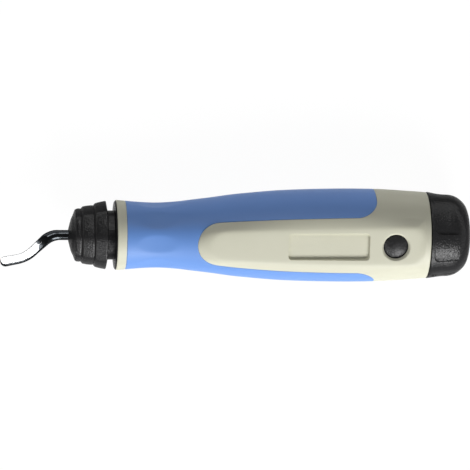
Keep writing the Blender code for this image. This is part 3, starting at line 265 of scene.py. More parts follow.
def housing_columns(x, surface):
    """Angles and radii of half a section of the housing, from the top middle to the back's.

    The columns follow the window's edge: the panel, a rounded edge, the wall down to the
    core, the core, and the same again at the back. The surface is the bare ring or collar,
    the window beside the grip's arms, or the core under the grip's waist.
    """
    bare = surface in ("ring", "collar")
    opening = window_angle(x)[:, None]
    if surface == "under":
        lead = np.clip((X_WINDOW - x) / WINDOW_SETBACK, 0.0, 1.0)[:, None]
        opening = np.maximum(opening, WINDOW_FRONT_ANGLE * lead)
    if bare:
        opening = np.full((len(x), 1), ARM_END_ANGLE)
    x = x[:, None]
    outer = handle_radius(x)
    core = outer - GRIP_WALL - GAP
    edge = np.minimum(WINDOW_EDGE_ROUNDING / outer, opening / 3)
    panel = (opening - edge) * np.linspace(0.0, 1.0, PANEL_STEPS)[None, :]
    bend = np.linspace(0.0, np.pi / 2, EDGE_STEPS)[None, 1:]
    corner = opening - edge * (1 - np.sin(bend))
    wall = np.repeat(opening, 2, axis=1)
    between = np.linspace(0.0, 1.0, SIDE_STEPS)[None, 1:-1]
    side = opening + (np.pi - 2 * opening) * between

    def flank(heights):
        """Radii of one side's panel, corner and wall, from the panel's middle outwards."""
        if surface == "under":
            return np.repeat(core, panel.shape[1] + corner.shape[1] + wall.shape[1], axis=1)
        over_panel = panel_radius(x, panel, heights)
        over_corner = panel_radius(x, corner, heights)
        if bare:
            return np.hstack([over_panel, over_corner, outer, outer])
        over_corner = over_corner - edge * outer * (1 - np.cos(bend))
        return np.hstack([over_panel, over_corner, (over_corner[:, -1:] + core) / 2, core])

    top, back = flank(PANEL_HEIGHTS), flank(BACK_HEIGHTS)
    middle = np.repeat(outer if bare else core, side.shape[1], axis=1)
    angles = np.hstack([panel, corner, wall])
    angles = np.hstack([angles, side, np.pi - angles[:, ::-1]])
    return angles, np.hstack([top, middle, back[:, ::-1]])


def ring_points(x, angles, radii):
    """Points x, radius * sin, axis + radius * cos, with angles counted from the top."""
    x = x + 0 * angles
    return np.stack([x, radii * np.sin(angles), AXIS_Z + radii * np.cos(angles)], axis=-1)


def around_axis(x, angles, radii):
    """Points of whole sections from halves, by mirroring their columns."""
    angles = np.hstack([angles, -angles[:, -2:0:-1]])
    radii = np.hstack([radii, radii[:, -2:0:-1]])
    return ring_points(x[:, None], angles, radii)


def plain_rows(stations, radii, columns_like):
    """Rows of one radius each, for bores and end faces, on the columns of the skin."""
    angles = np.repeat(columns_like[:1], len(stations), axis=0)
    return around_axis(np.array(stations), angles, np.array(radii)[:, None] + 0 * angles)


# The window's first station stands a hair behind its tip, where it already has some width.
tip_turn = np.linspace(0.0, np.pi / 2, TIP_STEPS)
tip_x = X_WINDOW + WINDOW_TIP_LENGTH * (1 - np.cos(tip_turn))
tip_x[0] += 0.01 * MM
arm_x = stretch(tip_x[-1], X_COLLAR - ARM_CORNER_RADIUS, 64)[1:]
corner_x = X_COLLAR - ARM_CORNER_RADIUS + ARM_CORNER_RADIUS * np.sin(tip_turn[1:])
x_ring_front = X_RING - GAP + GRIP_SEAM
x_ring_end = X_GRIP - GRIP_SEAM
x_collar_start = X_COLLAR + GRIP_SEAM
end_round = np.array((0.0, 0.03, 0.13, 0.29, 0.5, 1.0)) * END_ROUNDING
ring_x = np.concatenate([x_ring_front + end_round,
                         stretch(X_RING + 0.6 * MM, x_ring_end - 0.3 * MM, 8),
                         [x_ring_end - SEAM_BREAK, x_ring_end]])
under_x = np.concatenate([[x_ring_end], stretch(X_GRIP, X_WINDOW, 24), tip_x[:1]])
window_x = np.concatenate([tip_x, arm_x, corner_x, [x_collar_start]])
collar_x = np.concatenate([[x_collar_start, x_collar_start + SEAM_BREAK],
                           stretch(X_COLLAR + 0.7 * MM, X_PANEL_REAR - 1 * MM, 26),
                           stretch(X_PANEL_REAR - 0.8 * MM, X_HOUSING_END - 0.5 * MM, 24),
                           X_HOUSING_END - end_round[::-1]])

# The ends fall as quarter circles, and the edges beside the grip are lightly broken.
end_fall = END_ROUNDING - np.sqrt(END_ROUNDING ** 2 - (END_ROUNDING - end_round) ** 2)
seam_fall = np.array((0.02, 0.12))[:, None] * MM
ring_angles = housing_columns(ring_x, "ring")[0]
ring_radii = handle_radius(ring_x)[:, None] + 0 * ring_angles
ring_radii[:len(end_round)] -= end_fall[:, None]
ring_radii[-2:] -= seam_fall
collar_angles, collar_radii = housing_columns(collar_x, "collar")
behind_arm = (collar_angles > ARM_END_ANGLE) & (collar_angles < np.pi - ARM_END_ANGLE)
collar_radii[:2] -= seam_fall[::-1] * behind_arm[:2]
collar_radii[-len(end_round):] -= end_fall[::-1, None]
x_web = X_RING + WEB_SETBACK
x_bore = X_RING + MAGAZINE_BORE_SETBACK
housing = skin("housing", np.concatenate([
    around_axis(ring_x, ring_angles, ring_radii),
    around_axis(under_x, *housing_columns(under_x, "under")),
    around_axis(window_x, *housing_columns(window_x, "window")),
    around_axis(collar_x, collar_angles, collar_radii),
    plain_rows(
        [X_HOUSING_END, X_HOUSING_END - BORE_LEAD_IN, x_bore, x_bore, x_web + WEB_THICKNESS,
         x_web + WEB_THICKNESS, x_web, x_web, X_RING],
        [MAGAZINE_BORE_RADIUS + BORE_LEAD_IN, MAGAZINE_BORE_RADIUS, MAGAZINE_BORE_RADIUS,
         NUT_CHAMBER_RADIUS, NUT_CHAMBER_RADIUS, HOLDER_BORE_RADIUS, HOLDER_BORE_RADIUS,
         SPIGOT_BORE_RADIUS, SPIGOT_BORE_RADIUS], ring_angles)]))


def eased(corners, closed=True):
    """Round an outline's corners, given as (place, place, rounding).

    Each corner becomes the curve (1-t)^2 start + 2t(1-t) corner + t^2 end, where start and
    end lie on its two sides at the rounding's distance from it, or less on a short side.
    """
    corners = np.array(corners, dtype=float)
    here, rounding = corners[:, :2], corners[:, 2:]
    to_before, to_after = np.roll(here, 1, axis=0) - here, np.roll(here, -1, axis=0) - here
    before = np.linalg.norm(to_before, axis=1, keepdims=True)
    after = np.linalg.norm(to_after, axis=1, keepdims=True)
    reach = np.minimum(rounding, 0.48 * np.minimum(before, after))
    if not closed:
        reach[[0, -1]] = 0.0
    start, end = here + to_before / before * reach, here + to_after / after * reach
    t = np.linspace(0.0, 1.0, 6)[None, :, None]
    curve = ((1 - t) ** 2 * start[:, None] + 2 * t * (1 - t) * here[:, None]
             + t ** 2 * end[:, None])
    points = curve.reshape(-1, 2)
    moved = np.linalg.norm(np.diff(points, axis=0), axis=1) > 0.001 * MM
    return points[np.concatenate([[True], moved])]


def upright_turned(name, profile, x, steps=96):
    """Turn (radius, height above the axis) points about the upright line through x."""
    turn = np.linspace(0.0, 2 * np.pi, steps, endpoint=False)[None, :]
    radius, height = profile[:, :1], profile[:, 1:]
    grid = np.stack([x + radius * np.cos(turn), radius * np.sin(turn),
                     AXIS_Z + height + 0 * turn], axis=-1)
    return skin(name, grid, closed_rows=False)


# The button's seat in the housing: a chamfered round hole over a wider well, whose roof
# keeps the button's flange in, with the pocket of the latch lever behind it.
BUTTON_SETBACK = 11.5 * MM
BUTTON_RADIUS = 3.65 * MM
BUTTON_ROOF = 0.9 * MM
BUTTON_LIP = 0.6 * MM
SEAT_CHAMFER = 0.6 * MM
SEAT_CUT_REACH = 3.0 * MM
SEAT_CUT_SLOPE = 0.35
WELL_FLOOR = 7.5 * MM
X_BUTTON = X_CAP - BUTTON_SETBACK
button_along = (X_BUTTON - X_PANEL_FRONT) / (X_PANEL_REAR - X_PANEL_FRONT)
PANEL_AT_BUTTON = PANEL_HEIGHTS[0] + (PANEL_HEIGHTS[1] - PANEL_HEIGHTS[0]) * button_along
ROOF_HEIGHT = PANEL_AT_BUTTON - BUTTON_ROOF
hole_radius, well_radius = BUTTON_RADIUS + GAP, BUTTON_RADIUS + BUTTON_LIP + GAP
cut_out(housing, upright_turned("button_seat", eased((
    (0.0, WELL_FLOOR, 0.0), (well_radius, WELL_FLOOR, 0.0), (well_radius, ROOF_HEIGHT, 0.0),
    (hole_radius, ROOF_HEIGHT, 0.0), (hole_radius, PANEL_AT_BUTTON - SEAT_CHAMFER, 0.25 * MM),
    (hole_radius + SEAT_CHAMFER, PANEL_AT_BUTTON, 0.2 * MM),
    (hole_radius + SEAT_CHAMFER + SEAT_CUT_REACH,
     PANEL_AT_BUTTON + SEAT_CUT_SLOPE * SEAT_CUT_REACH, 0.0),
    (hole_radius + SEAT_CHAMFER + SEAT_CUT_REACH, PANEL_AT_BUTTON + SEAT_CUT_REACH, 0.0),
    (0.0, PANEL_AT_BUTTON + SEAT_CUT_REACH, 0.0)), closed=False), X_BUTTON))

LEVER_HALF_WIDTH = 1.8 * MM
lever_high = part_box("latch_lever")[1]
pocket_low = np.array((X_BUTTON, -LEVER_HALF_WIDTH - GAP, AXIS_Z + WELL_FLOOR - 0.2 * MM))
pocket_high = np.array((lever_high.x + GAP, LEVER_HALF_WIDTH + GAP,
                        AXIS_Z + ROOF_HEIGHT + 0.01 * MM))
box_share = np.array(((0, 0, 0), (1, 0, 0), (1, 1, 0), (0, 1, 0),
                      (0, 0, 1), (1, 0, 1), (1, 1, 1), (0, 1, 1)))
box_faces = np.array(((0, 3, 2, 1), (4, 5, 6, 7), (0, 1, 5, 4),
                      (1, 2, 6, 5), (2, 3, 7, 6), (3, 0, 4, 7)))
cut_out(housing, faced("lever_pocket", pocket_low + box_share * (pocket_high - pocket_low),
                       box_faces))

# The label recess in the panel: a rounded rectangle with drafted walls and a softened edge,
# cut by rings that each stand in by an inset from the floor's outline at a height above it.
RECESS_LENGTH = 25.5 * MM
RECESS_WIDTH = 8.5 * MM
RECESS_DEPTH = 1.0 * MM
RECESS_CORNER = 1.2 * MM
RECESS_DRAFT = 0.12 * MM
RECESS_MARGIN = 4.0 * MM
x_recess_end = X_BUTTON - hole_radius - SEAT_CHAMFER - RECESS_MARGIN
x_recess = x_recess_end - RECESS_LENGTH
recess_along = ((x_recess + RECESS_LENGTH / 2) - X_PANEL_FRONT) / (X_PANEL_REAR - X_PANEL_FRONT)
pad_height = PANEL_HEIGHTS[0] + (PANEL_HEIGHTS[1] - PANEL_HEIGHTS[0]) * recess_along
recess_floor = pad_height - RECESS_DEPTH


def rounded_rectangle(low, high, radius):
    """An outline of four quarter circles, one round each corner of the rectangle."""
    turn = np.linspace(0.0, np.pi / 2, 8)
    quarter = np.stack([np.cos(turn), np.sin(turn)], axis=-1) * radius
    spin = np.array(((0.0, -1.0), (1.0, 0.0)))
    low, high = np.array(low) + radius, np.array(high) - radius
    centres = ((high[0], high[1]), (low[0], high[1]), (low[0], low[1]), (high[0], low[1]))
    return np.concatenate([quarter @ np.linalg.matrix_power(spin.T, k) + centre
                           for k, centre in enumerate(centres)])


RECESS_LEVELS = np.array((
    (0.5, 0.0), (0.1, 0.0), (0.02, 0.02), (0.0, 0.1), (-RECESS_DRAFT / MM, 0.92),
    (-RECESS_DRAFT / MM - 0.06, 1.0), (-RECESS_DRAFT / MM - 0.3, 1.3),
    (-RECESS_DRAFT / MM - 0.3, 3.0))) * MM
recess_rings = []
for inset, level in RECESS_LEVELS:
    outline = rounded_rectangle((x_recess + inset, -RECESS_WIDTH / 2 + inset),
                                (x_recess_end - inset, RECESS_WIDTH / 2 - inset),
                                RECESS_CORNER)
    height = np.full((len(outline), 1), AXIS_Z + recess_floor + level)
    recess_rings.append(np.hstack([outline, height]))
foot, head = recess_rings[0].copy(), recess_rings[-1].copy()
foot[:, :2] = head[:, :2] = (x_recess + RECESS_LENGTH / 2, 0.0)
cut_out(housing, skin("label_recess", np.stack([foot, *recess_rings, head]), closed_rows=False))


def shader_material(name):
    """A new material, its node tree and its Principled shader."""
    material = bpy.data.materials.new(name)
    material.use_nodes = True
    tree = material.node_tree
    shader = tree.nodes["Principled BSDF"]
    return material, tree, shader


def seen_colour(red, green, blue):
    """A colour as it shows on a screen, 0 to 255, in the linear values of a shader."""
    level = np.array((red, green, blue)) / 255
    linear = np.where(level <= 0.04045, level / 12.92, ((level + 0.055) / 1.055) ** 2.4)
    return (*linear.tolist(), 1.0)


def grain_group():
    """Moulded grain: a fine noise for the pitted skin and a broad one for its mottling.

    Height is the fine noise and Mottle the broad one, both on object coordinates in metres.
    """
    group = bpy.data.node_groups.new("moulded_grain", "ShaderNodeTree")
    group.interface.new_socket("Fineness", in_out="INPUT", socket_type="NodeSocketFloat")
    group.interface.new_socket("Height", in_out="OUTPUT", socket_type="NodeSocketFloat")
    group.interface.new_socket("Mottle", in_out="OUTPUT", socket_type="NodeSocketFloat")
    start, end = group.nodes.new("NodeGroupInput"), group.nodes.new("NodeGroupOutput")
    place = group.nodes.new("ShaderNodeTexCoord")
    fine = group.nodes.new("ShaderNodeTexNoise")
    fine.inputs["Detail"].default_value = 3.0
    broad = group.nodes.new("ShaderNodeTexNoise")
    broad.inputs["Scale"].default_value = 90.0
    broad.inputs["Detail"].default_value = 4.0
    group.links.new(place.outputs["Object"], fine.inputs["Vector"])
    group.links.new(place.outputs["Object"], broad.inputs["Vector"])
    group.links.new(start.outputs["Fineness"], fine.inputs["Scale"])
    group.links.new(fine.outputs["Fac"], end.inputs["Height"])
    group.links.new(broad.outputs["Fac"], end.inputs["Mottle"])
    return group


moulded_grain = grain_group()


def worn_unevenly(tree, shader, mask, height, shade, colour, gloss_range, bump):
    """Let colour and roughness wander with a mask, and raise the skin by a height."""
    tint = tree.nodes.new("ShaderNodeMix")
    tint.data_type = "RGBA"
    tint.inputs["A"].default_value = shade
    tint.inputs["B"].default_value = colour
    gloss = tree.nodes.new("ShaderNodeMapRange")
    gloss.inputs["To Min"].default_value, gloss.inputs["To Max"].default_value = gloss_range
    relief = tree.nodes.new("ShaderNodeBump")
    relief.inputs["Strength"].default_value = 1.0
    relief.inputs["Distance"].default_value = bump
    tree.links.new(mask, tint.inputs["Factor"])
    tree.links.new(mask, gloss.inputs["Value"])
    tree.links.new(height, relief.inputs["Height"])
    tree.links.new(tint.outputs["Result"], shader.inputs["Base Color"])
    tree.links.new(gloss.outputs["Result"], shader.inputs["Roughness"])
    tree.links.new(relief.outputs["Normal"], shader.inputs["Normal"])


def moulded(name, colour, shade, roughness, fineness, bump, sheen=0.0):
    """A moulded material: colour and roughness wander a little, and grain raises the skin."""
    material, tree, shader = shader_material(name)
    shader.inputs["Sheen Weight"].default_value = sheen
    grain = tree.nodes.new("ShaderNodeGroup")
    grain.node_tree = moulded_grain
    grain.inputs["Fineness"].default_value = fineness
    worn_unevenly(tree, shader, grain.outputs["Mottle"], grain.outputs["Height"], shade, colour,
                  (roughness - 0.05, roughness + 0.05), bump)
    return material


ivory_plastic = moulded("ivory_plastic", seen_colour(220, 219, 199), seen_colour(213, 212, 191),
                        0.52, 2600.0, 0.035 * MM)
place_all(housing, ivory_plastic, "handle", "ivory_plastic", "handle_body")

# Soft grip
# The blue elastomer moulded over the housing's core in the second shot: a full sleeve round
# the waist with eight finger dimples, and two arms that run back beside the panels.
DIMPLE_COUNT = 8
DIMPLE_SETBACK = 9.6 * MM
DIMPLE_DEPTH = 0.4 * MM
DIMPLE_CUT_RADIUS = 27.8 * MM
DIMPLE_REACH = 9.0 * MM
DIMPLE_EDGE = 0.12 * MM
GRIP_EDGE_ROUNDING = 0.2 * MM
GRIP_EDGE_MARGIN = 0.5 * MM


def grip_radius(x, angle):
    """Outer radius of the grip: the handle's, less the dimples and the rounded edges.

    A dimple is a cylinder's hollow, (out - sqrt(cut^2 - dx^2)) / cos(turn) at most. Near an
    edge the skin falls as a quarter circle does.
    """
    radius = handle_radius(x) + 0 * angle
    x_dimple = X_GRIP + DIMPLE_SETBACK
    out = handle_radius(np.array(x_dimple)) - DIMPLE_DEPTH + DIMPLE_CUT_RADIUS
    away = np.clip(np.abs(x - x_dimple), 0.0, 0.9 * DIMPLE_CUT_RADIUS)
    period = 2 * np.pi / DIMPLE_COUNT
    turn = (angle + period / 2) % period - period / 2
    hollow = (out - np.sqrt(DIMPLE_CUT_RADIUS ** 2 - away ** 2)) / np.cos(turn)
    radius = radius - softly_positive(radius - hollow, DIMPLE_EDGE) * (away < DIMPLE_REACH)
    tip = np.clip(X_WINDOW + WINDOW_TIP_LENGTH - x, 0.0, None) / WINDOW_TIP_LENGTH
    from_panel = np.minimum(angle, np.pi - angle)
    opening = np.where(x > X_COLLAR - ARM_CORNER_RADIUS, window_angle(x), side_angle(x))
    beside = (np.hypot(tip, from_panel / opening) - 1) * opening * radius - GRIP_SEAM
    to_edge = np.minimum(np.minimum(beside, x - X_GRIP), X_COLLAR - x)
    short = np.clip(GRIP_EDGE_ROUNDING - np.clip(to_edge, 0.0, None), 0.0, None)
    fall = GRIP_EDGE_ROUNDING - np.sqrt(GRIP_EDGE_ROUNDING ** 2 - short ** 2)
    return radius - fall


near_edge = np.array((0.0, 0.03, 0.1, 0.2, 0.3, 0.5)) * MM
waist_x = np.concatenate([
    X_GRIP + near_edge[:-1], stretch(X_GRIP + GRIP_EDGE_MARGIN, X_WINDOW - 1 * MM, 56),
    X_WINDOW - GRIP_SEAM - near_edge[:0:-1]])
arms_x = np.sort(np.concatenate([
    [X_WINDOW - GRIP_SEAM], tip_x[1:] - GRIP_SEAM, arm_x[:-1],
    X_COLLAR - ARM_CORNER_RADIUS + (ARM_CORNER_RADIUS - 0.3 * MM) * np.sin(tip_turn),
    X_COLLAR - near_edge[-3::-1]]))
grip_x = np.concatenate([waist_x, arms_x])
start = np.where(grip_x <= X_WINDOW - GRIP_SEAM, 0.0,
                 window_angle(grip_x + GRIP_SEAM * (grip_x < tip_x[-1]))
                 + GRIP_SEAM / handle_radius(grip_x))[:, None]
edge_angles = near_edge[:-1] / HANDLE_RADIUS
margin_angle = GRIP_EDGE_MARGIN / HANDLE_RADIUS
share = np.linspace(0.0, 1.0, 121)[None, :]
grip_angles = np.hstack([start + edge_angles,
                         start + margin_angle + (np.pi - 2 * start - 2 * margin_angle) * share,
                         np.pi - start - edge_angles[::-1]])
grip_stations = grip_x[:, None]
half = np.stack([
    ring_points(grip_stations, grip_angles, grip_radius(grip_stations, grip_angles)),
    ring_points(grip_stations, grip_angles, handle_radius(grip_stations) - GRIP_WALL)])
index = np.arange(half.size // 3).reshape(half.shape[:3])
open_rows = slice(len(waist_x) - 1, None)
grip_faces = np.concatenate([
    cells(index[0]), cells(index[1]),
    cells(index[:, open_rows, 0]), cells(index[:, open_rows, -1]),
    cells(index[:, 0, :]), cells(index[:, -1, :])])
mirrored = half * np.array((1.0, -1.0, 1.0))
grip = faced("grip", np.concatenate([half.reshape(-1, 3), mirrored.reshape(-1, 3)]),
             np.concatenate([grip_faces, grip_faces[:, ::-1] + half.size // 3]))
blue_rubber = moulded("blue_rubber", seen_colour(114, 160, 233), seen_colour(108, 154, 228),
                      0.5, 3400.0, 0.012 * MM)
place_all(grip, blue_rubber, "handle", "blue_rubber", "soft_grip")

# Front bush
# The black moulded bush pressed into the housing's front: the neck that the nose sleeve
# slides over, a thin conical flange against the front ring, and the hidden spigot.
NECK_RADIUS = 7.8 * MM
NECK_LENGTH = 2.1 * MM
NECK_HIDDEN_LENGTH = 1.45 * MM
FLANGE_RADIUS = 11.05 * MM
FLANGE_THICKNESS = 0.5 * MM
SPIGOT_RADIUS = 6.5 * MM
COLLAR_POCKET_RADIUS = 5.3 * MM
COLLAR_POCKET_DEPTH = 5.5 * MM
X_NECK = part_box("front_bush")[0].x
X_SPIGOT_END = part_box("front_bush")[1].x
X_FLANGE = X_NECK + NECK_HIDDEN_LENGTH + NECK_LENGTH


def turned(name, profile, steps=144, closed_rows=True, shape=None):
    """Turn (station, radius) points about the tool's axis; shape may change the radii."""
    turn = np.linspace(0.0, 2 * np.pi, steps, endpoint=False)[None, :]
    x, radius = profile[:, :1], profile[:, 1:] + 0 * turn
    if shape is not None:
        radius = shape(x, radius, turn)
    return skin(name, ring_points(x, turn + 0 * radius, radius), closed_rows)


bush = turned("bush", eased((
    (X_NECK, NECK_RADIUS, 0.2 * MM), (X_FLANGE, NECK_RADIUS, 0.25 * MM),
    (X_FLANGE + 0.25 * FLANGE_THICKNESS, FLANGE_RADIUS - 0.45 * MM, 0.12 * MM),
    (X_FLANGE + FLANGE_THICKNESS, FLANGE_RADIUS, 0.08 * MM),
    (X_FLANGE + FLANGE_THICKNESS, SPIGOT_RADIUS, 0.1 * MM),
    (X_SPIGOT_END, SPIGOT_RADIUS, 0.3 * MM), (X_SPIGOT_END, HOLDER_BORE_RADIUS, 0.1 * MM),
    (X_NECK + COLLAR_POCKET_DEPTH, HOLDER_BORE_RADIUS, 0.0),
    (X_NECK + COLLAR_POCKET_DEPTH, COLLAR_POCKET_RADIUS, 0.0),
    (X_NECK, COLLAR_POCKET_RADIUS, 0.1 * MM))))
black_plastic = moulded("black_plastic", seen_colour(47, 47, 48), seen_colour(41, 41, 42),
                        0.25, 2000.0, 0.2 * MM)

# Painted shade: the black's shine fades from SHINE to SHINE_AT_SLANT between the two shares of
# slant, by how slantwise the camera sees it, so its rims stay dark.
SHINE, SHINE_AT_SLANT = 0.5, 0.02
SLANT_SHARES = (0.24, 0.4)
black_tree = black_plastic.node_tree
black_shader = black_tree.nodes["Principled BSDF"]
black_shader.inputs["IOR"].default_value = 1.42
facing = black_tree.nodes.new("ShaderNodeLayerWeight")
# Painted shade: dims the black's reflections where it is seen at a slant.
painted_dark_rim = black_tree.nodes.new("ShaderNodeMapRange")
painted_dark_rim.inputs["From Min"].default_value = SLANT_SHARES[0]
painted_dark_rim.inputs["From Max"].default_value = SLANT_SHARES[1]
painted_dark_rim.inputs["To Min"].default_value = SHINE
painted_dark_rim.inputs["To Max"].default_value = SHINE_AT_SLANT
black_tree.links.new(facing.outputs["Facing"], painted_dark_rim.inputs["Value"])
black_tree.links.new(painted_dark_rim.outputs["Result"], black_shader.inputs["Specular IOR Level"])
place_all(bush, black_plastic, "handle", "black_plastic", "front_bush")

# Release sleeve
# The black nose sleeve, moulded with stepped rings and eight shallow, slightly crowned finger
# flats. It slides back over the neck against its spring and lets the lock balls out.
SLEEVE_LENGTH = 12.3 * MM
SLEEVE_RADIUS = 10.85 * MM
SLEEVE_OUTLINE_SHARES = (
    (0.000, 0.197, 0.02), (0.045, 0.394, 0.03), (0.069, 0.488, 0.03), (0.118, 0.601, 0.05),
    (0.160, 0.735, 0.03), (0.185, 0.762, 0.03), (0.290, 0.779, 0.015), (0.305, 0.768, 0.01),
    (0.330, 0.800, 0.02), (0.358, 0.836, 0.02), (0.615, 0.873, 0.02), (0.632, 0.860, 0.01),
    (0.650, 0.895, 0.02), (0.678, 0.930, 0.02), (0.955, 1.000, 0.02),
)
FLAT_COUNT = 8
FLAT_FIRST_ANGLE = np.radians(34.0)
FLAT_LEVEL_SHARE = 0.972
FLAT_EASE_SHARE = 0.004
FLAT_FULLNESS = 0.7
FLAT_LEAST_RADIUS = 0.6 * SLEEVE_RADIUS
BAND_CROWN = 0.09 * MM
BAND_LEAST_SHARE = 0.1
BAND_SHARES = (0.12, 0.3, 0.5, 0.7, 0.88)
SHANK_RADIUS = 1.6 * MM
SHANK_CLEARANCE_RADIUS = 1.9 * MM
LOCK_LENGTH = 2.7 * MM
TRAVEL_ROOM = 2.1 * MM
SPRING_CHAMBER_RADIUS = 5.5 * MM
SNAP_CHAMBER_RADIUS = 4.6 * MM
X_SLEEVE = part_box("release_sleeve")[0].x
X_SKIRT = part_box("release_sleeve")[1].x
skirt_radius = NECK_RADIUS + GAP
x_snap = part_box("snap_ring")[0].x
x_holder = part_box("blade_holder")[0].x
x_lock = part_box("snap_ring")[1].x + GAP
x_chamber = x_lock + LOCK_LENGTH


def finger_flats(x, radius, turn):
    """Crowned flats on the sleeve's skin: level / cos(fullness * angle from the middle)."""
    period = 2 * np.pi / FLAT_COUNT
    away = (turn - FLAT_FIRST_ANGLE + period / 2) % period - period / 2
    flat = radius * FLAT_LEVEL_SHARE / np.cos(FLAT_FULLNESS * away)
    cut = softly_positive(radius - flat, FLAT_EASE_SHARE * radius)
    outside = (radius > FLAT_LEAST_RADIUS) & (radius > skirt_radius + 0.05 * MM)
    return radius - cut * outside


# A band longer than BAND_LEAST_SHARE of the sleeve is crowned by 4 * share * (1 - share).
sleeve_profile = []
for (along, out, ease), (next_along, next_out, _) in zip(
        SLEEVE_OUTLINE_SHARES, SLEEVE_OUTLINE_SHARES[1:] + SLEEVE_OUTLINE_SHARES[-1:]):
    sleeve_profile.append((X_SLEEVE + along * SLEEVE_LENGTH, out * SLEEVE_RADIUS,
                           ease * SLEEVE_LENGTH))
    if next_along - along > BAND_LEAST_SHARE:
        sleeve_profile += [
            (X_SLEEVE + (along + share * (next_along - along)) * SLEEVE_LENGTH,
             (out + share * (next_out - out)) * SLEEVE_RADIUS
             + 4 * share * (1 - share) * BAND_CROWN, 0.0) for share in BAND_SHARES]
sleeve_profile += [
    (X_SKIRT, skirt_radius, 0.15 * MM), (X_NECK - TRAVEL_ROOM, skirt_radius, 0.0),
    (X_NECK - TRAVEL_ROOM, SPRING_CHAMBER_RADIUS, 0.0), (x_chamber, SPRING_CHAMBER_RADIUS, 0.0),
    (x_chamber, HOLDER_BORE_RADIUS, 0.1 * MM), (x_lock, HOLDER_BORE_RADIUS, 0.1 * MM),
    (x_lock, SNAP_CHAMBER_RADIUS, 0.0), (x_snap - TRAVEL_ROOM, SNAP_CHAMBER_RADIUS, 0.0),
    (x_snap - TRAVEL_ROOM, HOLDER_BORE_RADIUS, 0.0),
    (x_holder - TRAVEL_ROOM, HOLDER_BORE_RADIUS, 0.0),
    (x_holder - TRAVEL_ROOM, SHANK_CLEARANCE_RADIUS, 0.0),
    (X_SLEEVE, SHANK_CLEARANCE_RADIUS, 0.1 * MM)]
sleeve = turned("sleeve", eased(sleeve_profile), steps=240, shape=finger_flats)
place_all(sleeve, black_plastic, "sleeve", "black_plastic", "release_sleeve")

# Blade
# The swan-neck blade, bent from a 3.2 mm rod of tool steel. The rod is a dark steel, its rims
# dimmed by a painted shade, and the face that cuts is ground bright and flat, running out on the
# curve of the wheel. Three spares lie in the magazine.
BLADE_ROLL = np.radians(-40.0)
BLADE_STRAIGHT_SETBACK = 19.2 * MM
BEND_RADIUS = 6.6 * MM
BEND_ANGLE = np.radians(44.5)
SLOPE_LENGTH = 5.36 * MM
RETURN_RADIUS = 10.2 * MM
TIP_ANGLE = np.radians(11.0)
FACE_HEIGHT = 0.85 * MM
FACE_LENGTH = 12.4 * MM
FACE_EDGE_BREAK = 0.05 * MM
FACE_WIDEST_ANGLE = np.radians(62.0)
WHEEL_RADIUS = 5.0 * MM
SHANK_CHAMFER = 0.4 * MM
GROOVE_RADIUS = 1.15 * MM
GROOVE_HALF_LENGTH = 1.2 * MM
GROOVE_SLOPE = 0.25 * MM
TIP_DOME_LENGTH = 1.7 * MM
TIP_SETBACK = 0.45 * MM
ROD_STEPS, FACE_STEPS, DOME_STEPS = 73, 26, 26
NECK_SHARES = np.array(((0.0, 1.0), (0.06, 1.07), (0.2, 1.1), (0.42, 0.98), (0.7, 0.95),
                        (0.84, 0.97), (0.9, 1.0), (1.0, 1.0)))
SLOPE_RUN = BEND_RADIUS * BEND_ANGLE + SLOPE_LENGTH
RETURN_RUN = SLOPE_RUN + RETURN_RADIUS * (BEND_ANGLE - TIP_ANGLE)
X_TIP = -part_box("end_cap")[1].x
x_bend = X_TIP + BLADE_STRAIGHT_SETBACK
x_groove = (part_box("lock_ball_1")[0].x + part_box("lock_ball_1")[1].x) / 2


def blade_heading(run):
    """Angle of the centre line to the shank: it grows on the bend and shrinks on the return."""
    angle = np.clip(run / BEND_RADIUS, 0.0, BEND_ANGLE)
    return angle - np.clip((run - SLOPE_RUN) / RETURN_RADIUS, 0.0, BEND_ANGLE - TIP_ANGLE)


def blade_line(run):
    """Points x and y of the centre line: an arc, a slope, a wider arc back and the tip.

    Run is the distance from the bend's start, and the line is its heading summed up in fine
    steps.
    """
    fine = np.linspace(0.0, run.max(), 4001)
    heading = blade_heading(fine)
    step = fine[1] - fine[0]
    between = (heading[:-1] + heading[1:]) / 2
    x = x_bend - np.concatenate([[0.0], np.cumsum(np.cos(between)) * step])
    y = -np.concatenate([[0.0], np.cumsum(np.sin(between)) * step])
    return np.interp(run, fine, x), np.interp(run, fine, y)


def face_height(x):
    """Height of the ground face: level, then rising on the wheel's arc."""
    beyond = np.clip(x - (X_TIP + FACE_LENGTH), 0.0, WHEEL_RADIUS * 0.999)
    return FACE_HEIGHT + WHEEL_RADIUS - np.sqrt(WHEEL_RADIUS ** 2 - beyond ** 2)


